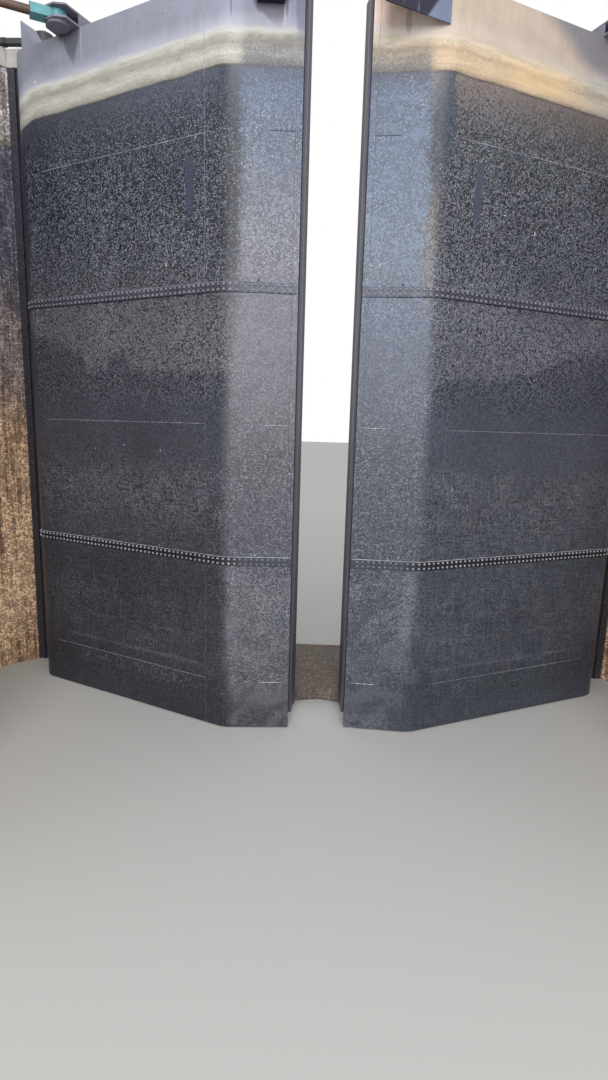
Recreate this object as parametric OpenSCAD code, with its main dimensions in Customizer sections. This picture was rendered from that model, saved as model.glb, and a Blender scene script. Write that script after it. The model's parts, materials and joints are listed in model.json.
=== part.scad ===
// A pair of steel mitre gate leaves between two lengths of chamber wall, partly open.
// X runs across the chamber, +Y downstream, +Z up; z = 0 is the waterline, where the walls end.
// The pivots of both leaves stand on the line y = 0. The left leaf is on the -X side.

/* [Chamber] */
// Clear width between the two chamber walls
chamber_w = 11440; // [10600:20:12400]
// Thickness of each wall behind the chamber face
wall_t = 3880; // [3400:20:4600]
// How far the machinery deck lies below the top of the leaf
deck_drop = 220; // [150:10:420]
// Height of the raised wall round the quoins above that deck
quoin_rise = 780; // [700:10:860]
// Thickness of the light coping slabs on the walls
coping_t = 340; // [200:10:400]
// How far the coping lies in front of the wall face
coping_lip = 30; // [10:5:60]
// Length of wall downstream of the pivots
wall_down = 2200; // [1900:20:3000]
// Length of wall upstream of the pivots
wall_up = 8200; // [8000:20:9000]
// Depth of the recess that an open leaf folds into
recess_d = 1780; // [1650:10:2100]
// Height of the concrete sill between the walls
sill_h = 250; // [150:10:300]
// How far the sill runs downstream of the pivots
sill_down = 900; // [700:10:1200]

/* [Pivot] */
// Distance of a pivot behind the chamber face
pivot_in = 180; // [150:5:230]
// Radius of the round heel post
heel_r = 260; // [240:5:280]
// Clearance between the heel post and the hollow quoin
quoin_gap = 20; // [10:1:40]
// How far the heel post stands above the top of the leaf
heel_rise = 560; // [500:10:640]
// Distance of the pivot past the quoin end of the skin
pivot_out = 60; // [40:5:90]
// Distance of the pivot behind the outer face of the skin
pivot_back = 940; // [900:5:960]
// Radius of the pintle and gudgeon pins
pivot_pin_r = 90; // [70:1:110]
// Running clearance around the pins
pin_gap = 0.5; // [0.3:0.1:0.9]

/* [Leaf] */
// Heading of a closed leaf against the line across the chamber
closed_heading = 13.3; // [12:0.1:15]
// Heading of the left leaf as it stands
heading_left = 25.9; // [24:0.1:40]
// Heading of the right leaf as it stands
heading_right = 24.9; // [24:0.1:40]
// Length of the bent nose, from the bend to the mitre edge
nose_len = 1225; // [1100:5:1300]
// Angle by which the nose turns back
nose_bend = 29.8; // [25:0.1:32]
// Radius of that bend
bend_r = 500; // [300:10:700]
// Depth of a leaf from the skin to its downstream flanges
leaf_d = 1100; // [1060:5:1130]
// Top of the leaf
leaf_top = 12370; // [12300:5:12450]
// Gap between the water and the foot of the skin
foot_gap = 20; // [10:1:40]
// Thickness of the skin plates
skin_t = 16; // [12:1:25]
// Radius by which the skin turns round the quoin end
wrap_r = 420; // [320:10:480]
// Width of the bent nose plate before the bend
nose_plate_w = 394; // [300:1:500]
// Width of the three cornered hood that stands on the quoin end
fin_w = 340; // [280:5:400]
// Height of that hood
fin_h = 470; // [400:5:520]
// Depth of that hood
fin_d = 330; // [200:10:400]

/* [Splices] */
// Height of the lower bolted splice
splice_z = 3230; // [3100:5:3400]
// Height of one leaf section, from splice to splice
section_h = 4650; // [4500:5:4700]
// Height of a splice cover strap
strap_h = 155; // [140:1:200]
// Thickness of a splice cover strap
strap_t = 14; // [8:1:20]
// Gap between the skin plates of two sections
joint_gap = 2; // [0:0.5:4]

/* [Framing] */
// Thickness of the girder webs
web_t = 14; // [10:1:20]
// Thickness of the girder flanges
flange_t = 20; // [14:1:30]
// Height of the girder flanges
flange_h = 280; // [200:5:340]
// Thickness of the upright diaphragms
diaphragm_t = 14; // [10:1:20]
// Number of rows of diaphragms
diaphragm_n = 4; // [3:1:4]
// Thickness of the plates of the end posts
post_t = 22; // [16:1:30]
// Height of the lowest girder
foot_girder_z = 420; // [400:5:500]
// Depth of the ribs that stiffen the skin between the girders
rib_d = 140; // [100:5:180]
// Height of their turned down edge
rib_h = 80; // [50:5:120]
// Thickness of the ribs
rib_t = 12; // [8:1:16]
// Radius of the manholes in the webs
web_hole_r = 260; // [200:10:290]
// Radius of the round ends of the manholes in the diaphragms
hole_r = 220; // [180:10:260]
// Radius of the drain holes in the webs
drain_r = 45; // [30:5:60]
// Width of the diagonal braces
brace_w = 200; // [150:5:260]
// Thickness of the diagonal braces
brace_t = 14; // [8:1:18]
// Side of the gusset plates that hold their ends
gusset_w = 560; // [450:10:650]
// Thickness of the gusset plates
gusset_t = 22; // [18:1:30]

/* [Mitre bar] */
// Width of the contact bar along the mitre face
bar_w = 90; // [60:5:120]
// How far the bar stands out of the mitre face
bar_out = 40; // [30:1:50]
// Distance of the bar behind the skin
bar_in = 70; // [50:5:100]
// Gap from the bar to the middle of the chamber when closed
closed_gap = 3; // [2.5:0.5:6]

/* [Nose brackets] */
// Thickness of the deck plate in front of each nose
nose_deck_t = 20; // [12:1:30]
// Height of the deep fascia under the right one
fascia_h = 610; // [500:5:700]
// Distance from the bend corner to the start of the fascia
fascia_from = 60; // [40:5:90]
// Width of the box bracket under the left one
nose_box_w = 410; // [300:5:450]
// Height of that box bracket
nose_box_h = 380; // [300:5:450]
// How far it stands out of the nose
nose_box_out = 150; // [100:5:200]
// Distance along the nose from the bend corner to that bracket
nose_box_from = 495; // [450:5:560]

/* [Drive] */
// Distance of the drive pin from the quoin end of the leaf
drive_u = 1610; // [1570:5:1670]
// Distance of the drive pin in front of the skin
drive_v = 195; // [180:5:210]
// Radius of the drive pin
drive_pin_r = 55; // [45:1:60]
// Clear height between the two drive plates
fork_gap = 160; // [150:1:180]
// Thickness of the drive plates
fork_t = 28; // [20:1:35]
// Reach of the drive plates in front of the skin
fork_out = 400; // [380:5:420]
// Half the width of the drive plates
fork_half_w = 290; // [270:5:310]
// Clearance of the rod eye between the plates
eye_gap = 5; // [3:0.5:8]
// Outer radius of the rod eye
eye_r = 150; // [130:5:160]
// Length of the block behind the eye
eye_block = 350; // [300:10:380]
// Radius of the piston rod
rod_r = 70; // [55:1:80]
// Outer radius of the cylinder
barrel_r = 140; // [110:5:150]
// Length of the cylinder
barrel_len = 2650; // [2500:10:2700]
// Distance from the drive pin to the mouth of the cylinder
rod_out = 2420; // [2400:10:2450]
// Angle of the rod against the line across the chamber
rod_a = 25.5; // [23:0.1:28]

/* [Quoin liner] */
// Width of the steel strip beside each hollow quoin
liner_w = 150; // [120:5:170]
// Thickness of that strip
liner_t = 20; // [12:1:25]
// Height of the rib along its inner edge
liner_rib = 35; // [20:1:40]

/* [Anchorage] */
// Outer radius of the gudgeon collar
collar_r = 190; // [170:5:210]
// Height of the gudgeon collar
collar_h = 200; // [150:5:240]
// Gap between the heel post and the gudgeon collar
collar_lift = 40; // [20:5:80]
// Width of an anchor arm
arm_w = 120; // [90:5:150]
// Length of an anchor arm
arm_len = 1900; // [1500:10:2200]

/* [Hidden] */
$fn = 64;

pivot_x = chamber_w / 2 + pivot_in;
deck_z = leaf_top - deck_drop;
quoin_top = deck_z + quoin_rise;
heel_top = leaf_top + heel_rise;
// Gap between pieces that are welded or bolted to each other
seat_gap = 0.3;
// How far a cut runs past what it cuts
past = 1;

// A leaf is drawn in its own plan: x along the skin from the quoin end, y from the skin into
// the leaf, so the pivot is at this point.
pivot = [-pivot_out, pivot_back];
// Length of the flat face up to the bend, so that closed leaves meet in the middle
mitre_v = nose_len * sin(nose_bend) - pivot_back;
leaf_main = (pivot_x - bar_out - closed_gap - mitre_v * sin(closed_heading)) / cos(closed_heading)
    - pivot_out - nose_len * cos(nose_bend);
bend_t = bend_r * tan(nose_bend / 2);
mitre = [leaf_main + nose_len * cos(nose_bend), nose_len * sin(nose_bend)];
// The mitre face runs straight downstream when the leaf is closed
face_dir = [-sin(closed_heading), cos(closed_heading)];
bend_c = [leaf_main - bend_t, bend_r];
joint_u = leaf_main - nose_plate_w;

function arc(c, r, a0, a1, n) = [for (i = [0:n]) let(a = a0 + (a1 - a0) * i / n) c + r * [cos(a), sin(a)]];
function flip(p) = [for (i = [len(p) - 1:-1:0]) p[i]];
// Point of the mitre face line at depth d behind the nose skin, and a point at depth v in the leaf
function at_mitre(d) = mitre + face_dir * d / cos(nose_bend - closed_heading);
function face_u(v) = mitre.x + face_dir.x * (v - mitre.y) / face_dir.y;
// Line of the bent plate at depth d, from u0 round the bend to the mitre face
function bent(d, u0) = concat([[u0, d]], bent_arc(d), [at_mitre(d)]);
function bent_arc(d) = arc(bend_c, bend_r - d, -90, -90 + nose_bend, 16);
// Round quoin end of the skin at depth d, over the last n of its steps up to the flat face
wrap_n = 16;
function wrap(d, n) = arc([wrap_r, wrap_r], wrap_r - d, 270 - 90 * n / wrap_n, 270, n);
function place(p, heading) = [-pivot_x, 0] + [
    (p.x - pivot.x) * cos(heading) + (p.y - pivot.y) * sin(heading),
    -(p.x - pivot.x) * sin(heading) + (p.y - pivot.y) * cos(heading)];

// Where the plate that closes the quoin end meets the heel post
heel_end_in = 35;
heel_bite = 10;
heel_end = pivot + [heel_end_in, heel_bite - heel_r];

splice_top_z = splice_z + section_h;
girder_pitch = section_h / 3;
// Heights of the single girders, and of the webs: at a splice the two sections meet back to back
girder_z = [foot_girder_z, splice_z - girder_pitch, splice_z + girder_pitch, splice_z + 2 * girder_pitch,
    splice_top_z + girder_pitch, splice_top_z + 2 * girder_pitch];
pair_z = (joint_gap + web_t) / 2;
web_z = [foot_girder_z, splice_z - girder_pitch, splice_z - pair_z, splice_z + pair_z,
    splice_z + girder_pitch, splice_z + 2 * girder_pitch, splice_top_z - pair_z, splice_top_z + pair_z,
    splice_top_z + girder_pitch, splice_top_z + 2 * girder_pitch, leaf_top - web_t / 2];
// Clear heights between the webs, from the underside to the top of each
bays = [for (k = [0:len(web_z) - 2]) if (web_z[k + 1] - web_z[k] > 2 * web_t + joint_gap)
    [web_z[k] + web_t / 2, web_z[k + 1] - web_t / 2]];

module side(right) {
    if (right) mirror([1, 0, 0]) children();
    else children();
}
// Puts what is drawn in a leaf's own plan where the leaf stands
module on_leaf(right) {
    side(right) translate([-pivot_x, 0, 0]) rotate([0, 0, -(right ? heading_right : heading_left)])
        translate([-pivot.x, -pivot.y, 0]) children();
}
module slab(z0, z1) {
    translate([0, 0, z0]) linear_extrude(height = z1 - z0) children();
}

// Chamber wall with its hollow quoin and the recess for the open leaf
quoin_r = heel_r + quoin_gap;
face_x = chamber_w / 2;
recess_x = face_x + recess_d;
recess_splay = 820;
recess_past = 1500;
recess_end = wall_up - recess_past;
recess_lead = 700;
quoin_edge = recess_x - recess_splay;
// The raised wall starts upstream of the splay
rise_past = 200;
rise_y = -recess_splay - rise_past;
module wall_plan(lip) {
    turn = lip * (sqrt(2) - 1);
    difference() {
        polygon([
            [-face_x - wall_t, -wall_up], [-face_x + lip, -wall_up],
            [-face_x + lip, -recess_end - recess_lead + lip / 2], [-recess_x + lip, -recess_end + lip / 2],
            [-recess_x + lip, -recess_splay - turn], [-quoin_edge + turn, -lip],
            [-face_x + lip, -lip], [-face_x + lip, wall_down], [-face_x - wall_t, wall_down]]);
        translate([-pivot_x, 0]) circle(r = quoin_r);
    }
}
// Outline of the raised wall, and of what lies beside it with a gap
module raised(gap) {
    translate([-face_x - wall_t - past, rise_y - gap])
        square([wall_t + coping_lip + 2 * past, wall_down - rise_y + gap + past]);
}
module wall(right) {
    color("#6a5c4c") side(right) {
        slab(0, deck_z - coping_t) wall_plan(0);
        slab(deck_z - coping_t, quoin_top - coping_t) intersection() {
            wall_plan(0);
            raised(0);
        }
    }
}
module coping(right) {
    color("#b8b09c") side(right) {
        slab(deck_z - coping_t, deck_z) difference() {
            wall_plan(coping_lip);
            raised(seat_gap);
        }
        slab(quoin_top - coping_t, quoin_top) intersection() {
            wall_plan(coping_lip);
            raised(0);
        }
    }
}

// Steel strip on the wall beside the hollow quoin, with a rib along the edge near the leaf
liner_in = 10;
liner_rib_t = 25;
module quoin_liner(right) {
    x0 = -quoin_edge + liner_in;
    x1 = x0 + liner_w;
    color("#3c3d42") side(right) slab(0, quoin_top - coping_t - seat_gap) polygon([
        [x0, -seat_gap], [x0, -liner_t], [x1 - liner_rib_t, -liner_t],
        [x1 - liner_rib_t, -liner_t - liner_rib], [x1, -liner_t - liner_rib], [x1, -seat_gap]]);
}

// Low threshold behind the closed skins, with its underside at the water
sill_clear = 30;
sill_heel = 70;
sill_end = heel_r + sill_heel;
sill_step = 60;
sill_d = skin_t + sill_clear;
// Left half of its outline, from the middle of the front round to the downstream side
sill_left = [for (p = [at_mitre(sill_d), [leaf_main - bend_t, sill_d], [wrap_r + sill_clear, sill_d],
    [pivot.x + sill_end, pivot.y + sill_end - sill_step]]) place(p, closed_heading)];
sill_half = concat([[0, sill_left[0].y]], sill_left, [[-face_x, sill_end + sill_step], [-face_x, sill_down]]);
module sill() {
    color("#5d564c") slab(0, sill_h)
        polygon(concat(sill_half, flip([for (p = sill_half) if (p.x < 0) [-p.x, p.y]])));
}

// Pintle that each leaf turns on, on its shoe
pintle_base_h = 120;
pintle_base_in = 10;
pintle_h = 260;
heel_foot = 200;
module pintle(right) {
    color("#55585a") side(right) translate([-pivot_x, 0, 0]) {
        cylinder(r = heel_r - pintle_base_in, h = pintle_base_h);
        cylinder(r = pivot_pin_r, h = pintle_h);
    }
}

// Gudgeon collar and the two anchor arms that tie it back to the deck
collar_z = heel_top + collar_lift;
arm_a = [178, 95];
anchor_pad = 300;
// Six sided nut that tightens an arm
nut_r = 95;
nut_l = 240;
nut_at = 800;
module anchor(right) {
    color("#4a4c4e") side(right) translate([-pivot_x, 0, 0]) difference() {
        union() {
            translate([0, 0, collar_z]) cylinder(r = collar_r, h = collar_h);
            for (a = arm_a) rotate([0, 0, a]) {
                translate([0, -arm_w / 2, collar_z + collar_h / 4]) cube([arm_len, arm_w, collar_h / 2]);
                translate([nut_at, 0, collar_z + collar_h / 2]) rotate([0, 90, 0])
                    cylinder(r = nut_r, h = nut_l, $fn = 6);
                translate([arm_len - anchor_pad, -anchor_pad / 2, quoin_top + seat_gap])
                    cube([anchor_pad, anchor_pad, collar_z + collar_h * 0.75 - quoin_top - seat_gap]);
            }
        }
        translate([0, 0, collar_z - past]) cylinder(r = pivot_pin_r + pin_gap, h = collar_h + 2 * past);
    }
}

// Painted block on the raised wall behind the heel
block_l = 1100;
block_w = 520;
block_h = 500;
block_y = 700;
block_back = 580;
module anchor_block(right) {
    color("#d8d4c8") side(right)
        translate([-face_x - block_w - block_back, block_y, quoin_top + seat_gap])
            cube([block_w, block_l, block_h]);
}

// Plates and nose of a leaf section, between two heights
weld_gap = 1;
module skin(right, z0, z1) {
    color("#8d8f94") on_leaf(right) slab(z0, z1)
        polygon(concat([[joint_u - weld_gap, 0], [joint_u - weld_gap, skin_t]],
            flip(wrap(skin_t, wrap_n)), wrap(0, wrap_n)));
}
// Upright plate at a distance from the skin, drawn along and up from the leaf top
module upright(v0, v1) {
    translate([wrap_r, v1, leaf_top]) rotate([90, 0, 0]) linear_extrude(height = v1 - v0) children();
}
module skin_top(right) {
    skin(right, splice_top_z + joint_gap / 2, leaf_top);
    color("#8d8f94") on_leaf(right) {
        upright(0, skin_t) polygon([[0, 0], [fin_w, 0], [0, fin_h]]);
        upright(skin_t, fin_d) polygon([[0, 0], [skin_t, 0], [skin_t, fin_h * (1 - 2 * skin_t / fin_w)],
            [fin_w - skin_t, 0], [fin_w, 0], [0, fin_h]]);
    }
}
module nose(right, z0, z1) {
    color("#85888c") on_leaf(right) slab(z0, z1)
        polygon(concat(bent(0, joint_u), flip(bent(skin_t, joint_u))));
}

// Cover straps over the two bolted splices, round most of the quoin end
strap_n = 10;
module splice_straps(right) {
    color("#4c4d4f") on_leaf(right) for (z = [splice_z, splice_top_z])
        slab(z - strap_h / 2, z + strap_h / 2)
            polygon(concat(wrap(-strap_t, strap_n), bent(-strap_t, wrap_r),
                flip(concat(wrap(0, strap_n), bent(0, wrap_r)))));
}

// Horizontal webs of the girders
module girder_plan() {
    g = skin_t;
    w0 = leaf_d - flange_t;
    difference() {
        polygon(concat(bent_arc(g), [at_mitre(g) - [post_t + seat_gap, 0],
            [face_u(w0) - post_t - seat_gap, w0], [pivot.x, w0], pivot, heel_end + [post_t + seat_gap, 0],
            [post_t + seat_gap, wrap_r]], wrap(g, wrap_n - 2)));
        translate(pivot) circle(r = heel_r);
    }
}
diaphragm_gap = leaf_main / diaphragm_n;
diaphragm_u = [for (i = [1:diaphragm_n]) diaphragm_gap * (i - 0.5)];
// Middle of the depth, and how far the drain holes keep from the skin and from the flanges
mid_v = leaf_d / 2;
drain_in = 200;
module web_holes() {
    for (i = [1:diaphragm_n - 1]) {
        translate([diaphragm_gap * i, drain_in]) circle(r = drain_r);
        translate([diaphragm_gap * i, leaf_d - drain_in]) circle(r = drain_r);
    }
    translate([diaphragm_gap * 2, mid_v]) circle(r = web_hole_r);
}
module girder_webs(right) {
    color("#63666a") on_leaf(right) {
        for (k = [0:len(web_z) - 2]) slab(web_z[k] - web_t / 2, web_z[k] + web_t / 2) difference() {
            girder_plan();
            web_holes();
        }
        slab(leaf_top - web_t, leaf_top) girder_plan();
    }
}
// Flat bars along the downstream edges of the girders, in halves where two sections meet
flange_spans = concat([for (z = girder_z) [z - flange_h / 2, z + flange_h / 2]],
    [for (z = [splice_z, splice_top_z], half = [-1, 1])
        half < 0 ? [z - flange_h / 2, z - joint_gap / 2] : [z + joint_gap / 2, z + flange_h / 2]],
    [[leaf_top - flange_h, leaf_top]]);
module girder_flanges(right) {
    color("#63666a") on_leaf(right) for (span = flange_spans)
        slab(span[0], span[1]) difference() {
            translate([0, leaf_d - flange_t]) square([face_u(leaf_d) - post_t, flange_t]);
            translate(pivot) circle(r = heel_r);
        }
}

// Upright plates between the girders, each with a manhole and a notch that its rib passes through
rib_clear = 4;
rib_front = skin_t + seat_gap;
hole_straight = 120;
function rib_z(bay) = (bay[0] + bay[1]) / 2;
module diaphragms(right) {
    color("#5b5e62") on_leaf(right) for (u = diaphragm_u, bay = bays) difference() {
        slab(bay[0], bay[1]) translate([u - diaphragm_t / 2, skin_t])
            square([diaphragm_t, leaf_d - flange_t - skin_t]);
        translate([u, mid_v, rib_z(bay)]) {
            for (end = [-1, 1]) translate([-diaphragm_t, 0, end * hole_straight / 2])
                rotate([0, 90, 0]) cylinder(r = hole_r, h = 2 * diaphragm_t);
            cube([2 * diaphragm_t, 2 * hole_r, hole_straight], center = true);
        }
        translate([u - diaphragm_t, 0, rib_z(bay) - rib_h - rib_clear])
            cube([2 * diaphragm_t, rib_front + rib_d + rib_clear, rib_h + rib_t + 2 * rib_clear]);
    }
}
// Angle bars along the skin, one at half height between each two girders
function rib_line(d) = concat([[wrap_r, d]], bent_arc(d), [at_mitre(d) - [post_t + seat_gap, 0]]);
module skin_ribs(right) {
    back = rib_front + rib_d;
    color("#5b5e62") on_leaf(right) for (bay = bays) {
        slab(rib_z(bay), rib_z(bay) + rib_t) polygon(concat(rib_line(rib_front), flip(rib_line(back))));
        slab(rib_z(bay) - rib_h, rib_z(bay)) polygon(concat(rib_line(back - rib_t), flip(rib_line(back))));
    }
}

// Round heel post with the plate that closes the quoin end and the gudgeon pin on top
cap_t = 40;
gudgeon_over = 60;
module heel_post(right) {
    color("#55585c") on_leaf(right) {
        translate([pivot.x, pivot.y, 0]) {
            difference() {
                translate([0, 0, heel_foot]) cylinder(r = heel_r, h = heel_top - heel_foot);
                translate([0, 0, heel_foot + cap_t])
                    cylinder(r = heel_r - post_t, h = heel_top - heel_foot - 2 * cap_t);
                translate([0, 0, heel_foot - past]) cylinder(r = pivot_pin_r + pin_gap, h = cap_t + 2 * past);
            }
            translate([0, 0, heel_top]) cylinder(r = pivot_pin_r, h = collar_lift + collar_h + gudgeon_over);
        }
        slab(heel_foot, leaf_top)
            polygon([[0, wrap_r], [post_t, wrap_r], heel_end + [post_t, 0], heel_end]);
    }
}

// Mitre post behind the mitre edge
post_clear = 40;
post_foot = sill_h + post_clear;
module mitre_post(right) {
    v1 = leaf_d;
    color("#63666a") on_leaf(right) slab(post_foot, leaf_top)
        polygon([at_mitre(skin_t), at_mitre(skin_t) - [post_t, 0],
            [face_u(v1) - post_t, v1], [face_u(v1), v1]]);
}
module mitre_bar(right) {
    square_off = [cos(closed_heading), sin(closed_heading)];
    a = at_mitre(bar_in) + square_off * seat_gap;
    b = at_mitre(bar_in) + square_off * bar_out;
    color("#b9b7c0") on_leaf(right) slab(post_foot, leaf_top)
        polygon([a, b, b + face_dir * bar_w, a + face_dir * bar_w]);
}

// Diagonal bars across the downstream side, on a gusset at each corner and a round plate in the middle
brace_in = 380;
brace_clear = 160;
gusset_in = 190;
gusset_edge = 170;
cross_r = 260;
module brace(p0, p1) {
    d = p1 - p0;
    translate([p0.x, leaf_d + brace_t + seat_gap, p0.y]) rotate([90, 0, 0]) rotate([0, 0, atan2(d.y, d.x)])
        translate([0, -brace_w / 2, 0]) cube([norm(d), brace_w, brace_t]);
}
module braces(right) {
    x0 = brace_in;
    x1 = face_u(leaf_d) - brace_in;
    mid_brace = (x0 + x1) / 2;
    z0 = girder_z[0] + brace_clear;
    z1 = leaf_top - flange_h / 2 - brace_clear;
    color("#5b5e62") on_leaf(right) {
        brace([x0, z0], [x1, z1]);
        brace([x0, z1], [x1, z0]);
        translate([0, leaf_d + gusset_t + seat_gap, 0]) rotate([90, 0, 0]) linear_extrude(height = gusset_t) {
            for (x = [x0, x1], z = [z0, z1]) translate([x, z])
                rotate(x < mid_brace ? (z < z1 ? 0 : -90) : (z < z1 ? 90 : 180)) gusset();
            translate([mid_brace, (z0 + z1) / 2]) circle(r = cross_r);
        }
    }
}
module gusset() {
    translate([-gusset_in, -gusset_in])
        polygon([[0, 0], [gusset_w, 0], [gusset_w, gusset_edge], [gusset_edge, gusset_w], [0, gusset_w]]);
}

// Two plates on the leaf top that hold the drive pin
fork_cut = 30;
fork_tip = [-80, 120];
fork_near = 240;
fork_far = 288;
module fork_plan(back) {
    polygon([[drive_u - fork_half_w, back], [drive_u - fork_half_w + fork_cut, -fork_near],
        [drive_u + fork_tip[0], -fork_out], [drive_u + fork_tip[1], -fork_out],
        [drive_u + fork_half_w, -fork_far], [drive_u + fork_half_w, back]]);
}
fork_back = 500;
fork_z = leaf_top + fork_t;
pin_over = 60;
// Thrust disc under the lower plate and the smaller ring in its middle
pin_disc_r = 185;
pin_disc_h = 40;
pin_ring_r = 90;
pin_ring_h = 52;
module drive_bracket(right) {
    color("#77797f") on_leaf(right) {
        slab(leaf_top, fork_z) fork_plan(fork_back);
        slab(fork_z + fork_gap, fork_z + fork_gap + fork_t) fork_plan(fork_back);
        for (u = [drive_u - fork_half_w, drive_u + fork_half_w - fork_t])
            translate([u, 0, leaf_top]) cube([fork_t, fork_back, fork_gap + 2 * fork_t]);
        translate([drive_u, -drive_v, leaf_top - pin_over])
            cylinder(r = drive_pin_r, h = fork_gap + 2 * (fork_t + pin_over));
        for (ring = [[pin_disc_r, pin_disc_h], [pin_ring_r, pin_ring_h]])
            translate([drive_u, -drive_v, leaf_top - ring[1]]) cylinder(r = ring[0], h = ring[1]);
    }
}

// Deck plate that squares off the nose at the leaf top, with a deep fascia on the right leaf
// and a box bracket on the left one
nose_box_taper = 30;
function skin_depth(u) = bend_r - sqrt(bend_r * bend_r - pow(u - bend_c.x, 2));
module nose_bracket(right) {
    deck_foot = leaf_top - nose_deck_t;
    front = [face_u(0), 0];
    u0 = leaf_main + fascia_from;
    color("#3b4250") on_leaf(right) {
        slab(deck_foot, leaf_top) polygon(concat(bent_arc(-seat_gap), [at_mitre(-seat_gap), front]));
        if (right) slab(leaf_top - fascia_h, deck_foot) polygon([
            [u0, 0], front, front + face_dir * nose_deck_t, [u0 + nose_deck_t, nose_deck_t],
            [u0 + nose_deck_t, skin_depth(u0 + nose_deck_t) - seat_gap], [u0, skin_depth(u0) - seat_gap]]);
        else slab(leaf_top - nose_box_h, deck_foot) translate([leaf_main, 0]) rotate(nose_bend)
            translate([nose_box_from, -nose_box_out]) polygon([[-nose_box_taper, 0],
                [nose_box_w + nose_box_taper, 0], [nose_box_w, nose_box_out - seat_gap],
                [0, nose_box_out - seat_gap]]);
    }
}

// Piston rod with its eye, drawn from the drive pin outwards
pin_left = place([drive_u, -drive_v], heading_left);
pin_right = place([drive_u, -drive_v], heading_right);
rod_z = fork_z + fork_gap / 2;
barrel_end = 60;
// How far the rod runs in from here to open the leaf, and what then stays free behind it
open_stroke = 1840;
rod_end_gap = 10;
rod_in = barrel_len - barrel_end - open_stroke - rod_end_gap;
block_from = 105;
block_half_w = 120;
module from_pin(right) {
    p = right ? pin_right : pin_left;
    side(right) translate([p.x, p.y, rod_z]) rotate([0, 0, 180 + rod_a]) children();
}
module drive_rod(right) {
    eye_h = fork_gap - 2 * eye_gap;
    color("#5fa6ad") from_pin(right) difference() {
        union() {
            translate([0, 0, -eye_h / 2]) cylinder(r = eye_r, h = eye_h);
            translate([block_from, -block_half_w, -eye_h / 2]) cube([eye_block, 2 * block_half_w, eye_h]);
            rotate([0, 90, 0]) translate([0, 0, block_from])
                cylinder(r = rod_r, h = rod_out + rod_in - block_from);
        }
        translate([0, 0, -eye_h]) cylinder(r = drive_pin_r + pin_gap, h = 2 * eye_h);
    }
}
// Cylinder with its gland, the flange at its mouth and the two oil ports
gland_w = 35;
gland_l = 60;
mouth_w = 32;
mouth_l = 55;
port_r = 34;
port_in = 160;
port_h = 60;
module drive_cylinder(right) {
    color("#4f5357") from_pin(right) difference() {
        union() {
            rotate([0, 90, 0]) translate([0, 0, rod_out]) {
                translate([0, 0, -gland_l]) cylinder(r = rod_r + gland_w, h = gland_l);
                cylinder(r = barrel_r + mouth_w, h = mouth_l);
                cylinder(r = barrel_r, h = barrel_len);
            }
            for (at = [port_in, barrel_len - port_in])
                translate([rod_out + at, 0, 0]) cylinder(r = port_r, h = barrel_r + port_h);
        }
        rotate([0, 90, 0]) translate([0, 0, rod_out - gland_l - past])
            cylinder(r = rod_r + pin_gap, h = gland_l + barrel_len - barrel_end + past);
    }
}
// Low steel table on the deck under the cylinder
bed_plate_t = 25;
bed_web_t = 20;
bed_web_gap = 400;
barrel_clear = 8;
bed_h = rod_z - barrel_r - barrel_clear - deck_z;
bed_at = 4200;
bed_size = 1100;
module cylinder_bed(right) {
    color("#75736c") from_pin(right) translate([bed_at - bed_size / 2, 0, deck_z - rod_z]) {
        for (z = [0, bed_h - bed_plate_t]) translate([0, -bed_size / 2, z])
            cube([bed_size, bed_size, bed_plate_t]);
        for (y = [-1, 0, 1]) translate([0, y * bed_web_gap - bed_web_t / 2, 0])
            cube([bed_size, bed_web_t, bed_h]);
    }
}

z_a = splice_z - joint_gap / 2;
z_b = splice_z + joint_gap / 2;
z_c = splice_top_z - joint_gap / 2;
z_d = splice_top_z + joint_gap / 2;
wall(false);  // wall_left
wall(true);  // wall_right
coping(false);  // coping_left
coping(true);  // coping_right
sill();
pintle(false);  // pintle_left
pintle(true);  // pintle_right
anchor(false);  // anchor_left
anchor(true);  // anchor_right
anchor_block(false);  // anchor_block_left
anchor_block(true);  // anchor_block_right
cylinder_bed(false);  // cylinder_bed_left
cylinder_bed(true);  // cylinder_bed_right
quoin_liner(false);  // quoin_liner_left
quoin_liner(true);  // quoin_liner_right
skin(false, foot_gap, z_a);  // skin_bottom_left
skin(false, z_b, z_c);  // skin_middle_left
skin_top(false);  // skin_top_left
skin(true, foot_gap, z_a);  // skin_bottom_right
skin(true, z_b, z_c);  // skin_middle_right
skin_top(true);  // skin_top_right
nose(false, foot_gap, z_a);  // nose_bottom_left
nose(false, z_b, z_c);  // nose_middle_left
nose(false, z_d, leaf_top);  // nose_top_left
nose(true, foot_gap, z_a);  // nose_bottom_right
nose(true, z_b, z_c);  // nose_middle_right
nose(true, z_d, leaf_top);  // nose_top_right
splice_straps(false);  // splice_straps_left
splice_straps(true);  // splice_straps_right
girder_webs(false);  // girder_webs_left
girder_webs(true);  // girder_webs_right
girder_flanges(false);  // girder_flanges_left
girder_flanges(true);  // girder_flanges_right
diaphragms(false);  // diaphragms_left
diaphragms(true);  // diaphragms_right
skin_ribs(false);  // skin_ribs_left
skin_ribs(true);  // skin_ribs_right
heel_post(false);  // heel_post_left
heel_post(true);  // heel_post_right
mitre_post(false);  // mitre_post_left
mitre_post(true);  // mitre_post_right
mitre_bar(false);  // mitre_bar_left
mitre_bar(true);  // mitre_bar_right
braces(false);  // braces_left
braces(true);  // braces_right
drive_bracket(false);  // drive_bracket_left
drive_bracket(true);  // drive_bracket_right
nose_bracket(false);  // nose_bracket_left
nose_bracket(true);  // nose_bracket_right
drive_rod(false);  // drive_rod_left
drive_rod(true);  // drive_rod_right
drive_cylinder(false);  // drive_cylinder_left
drive_cylinder(true);  // drive_cylinder_right
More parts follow.
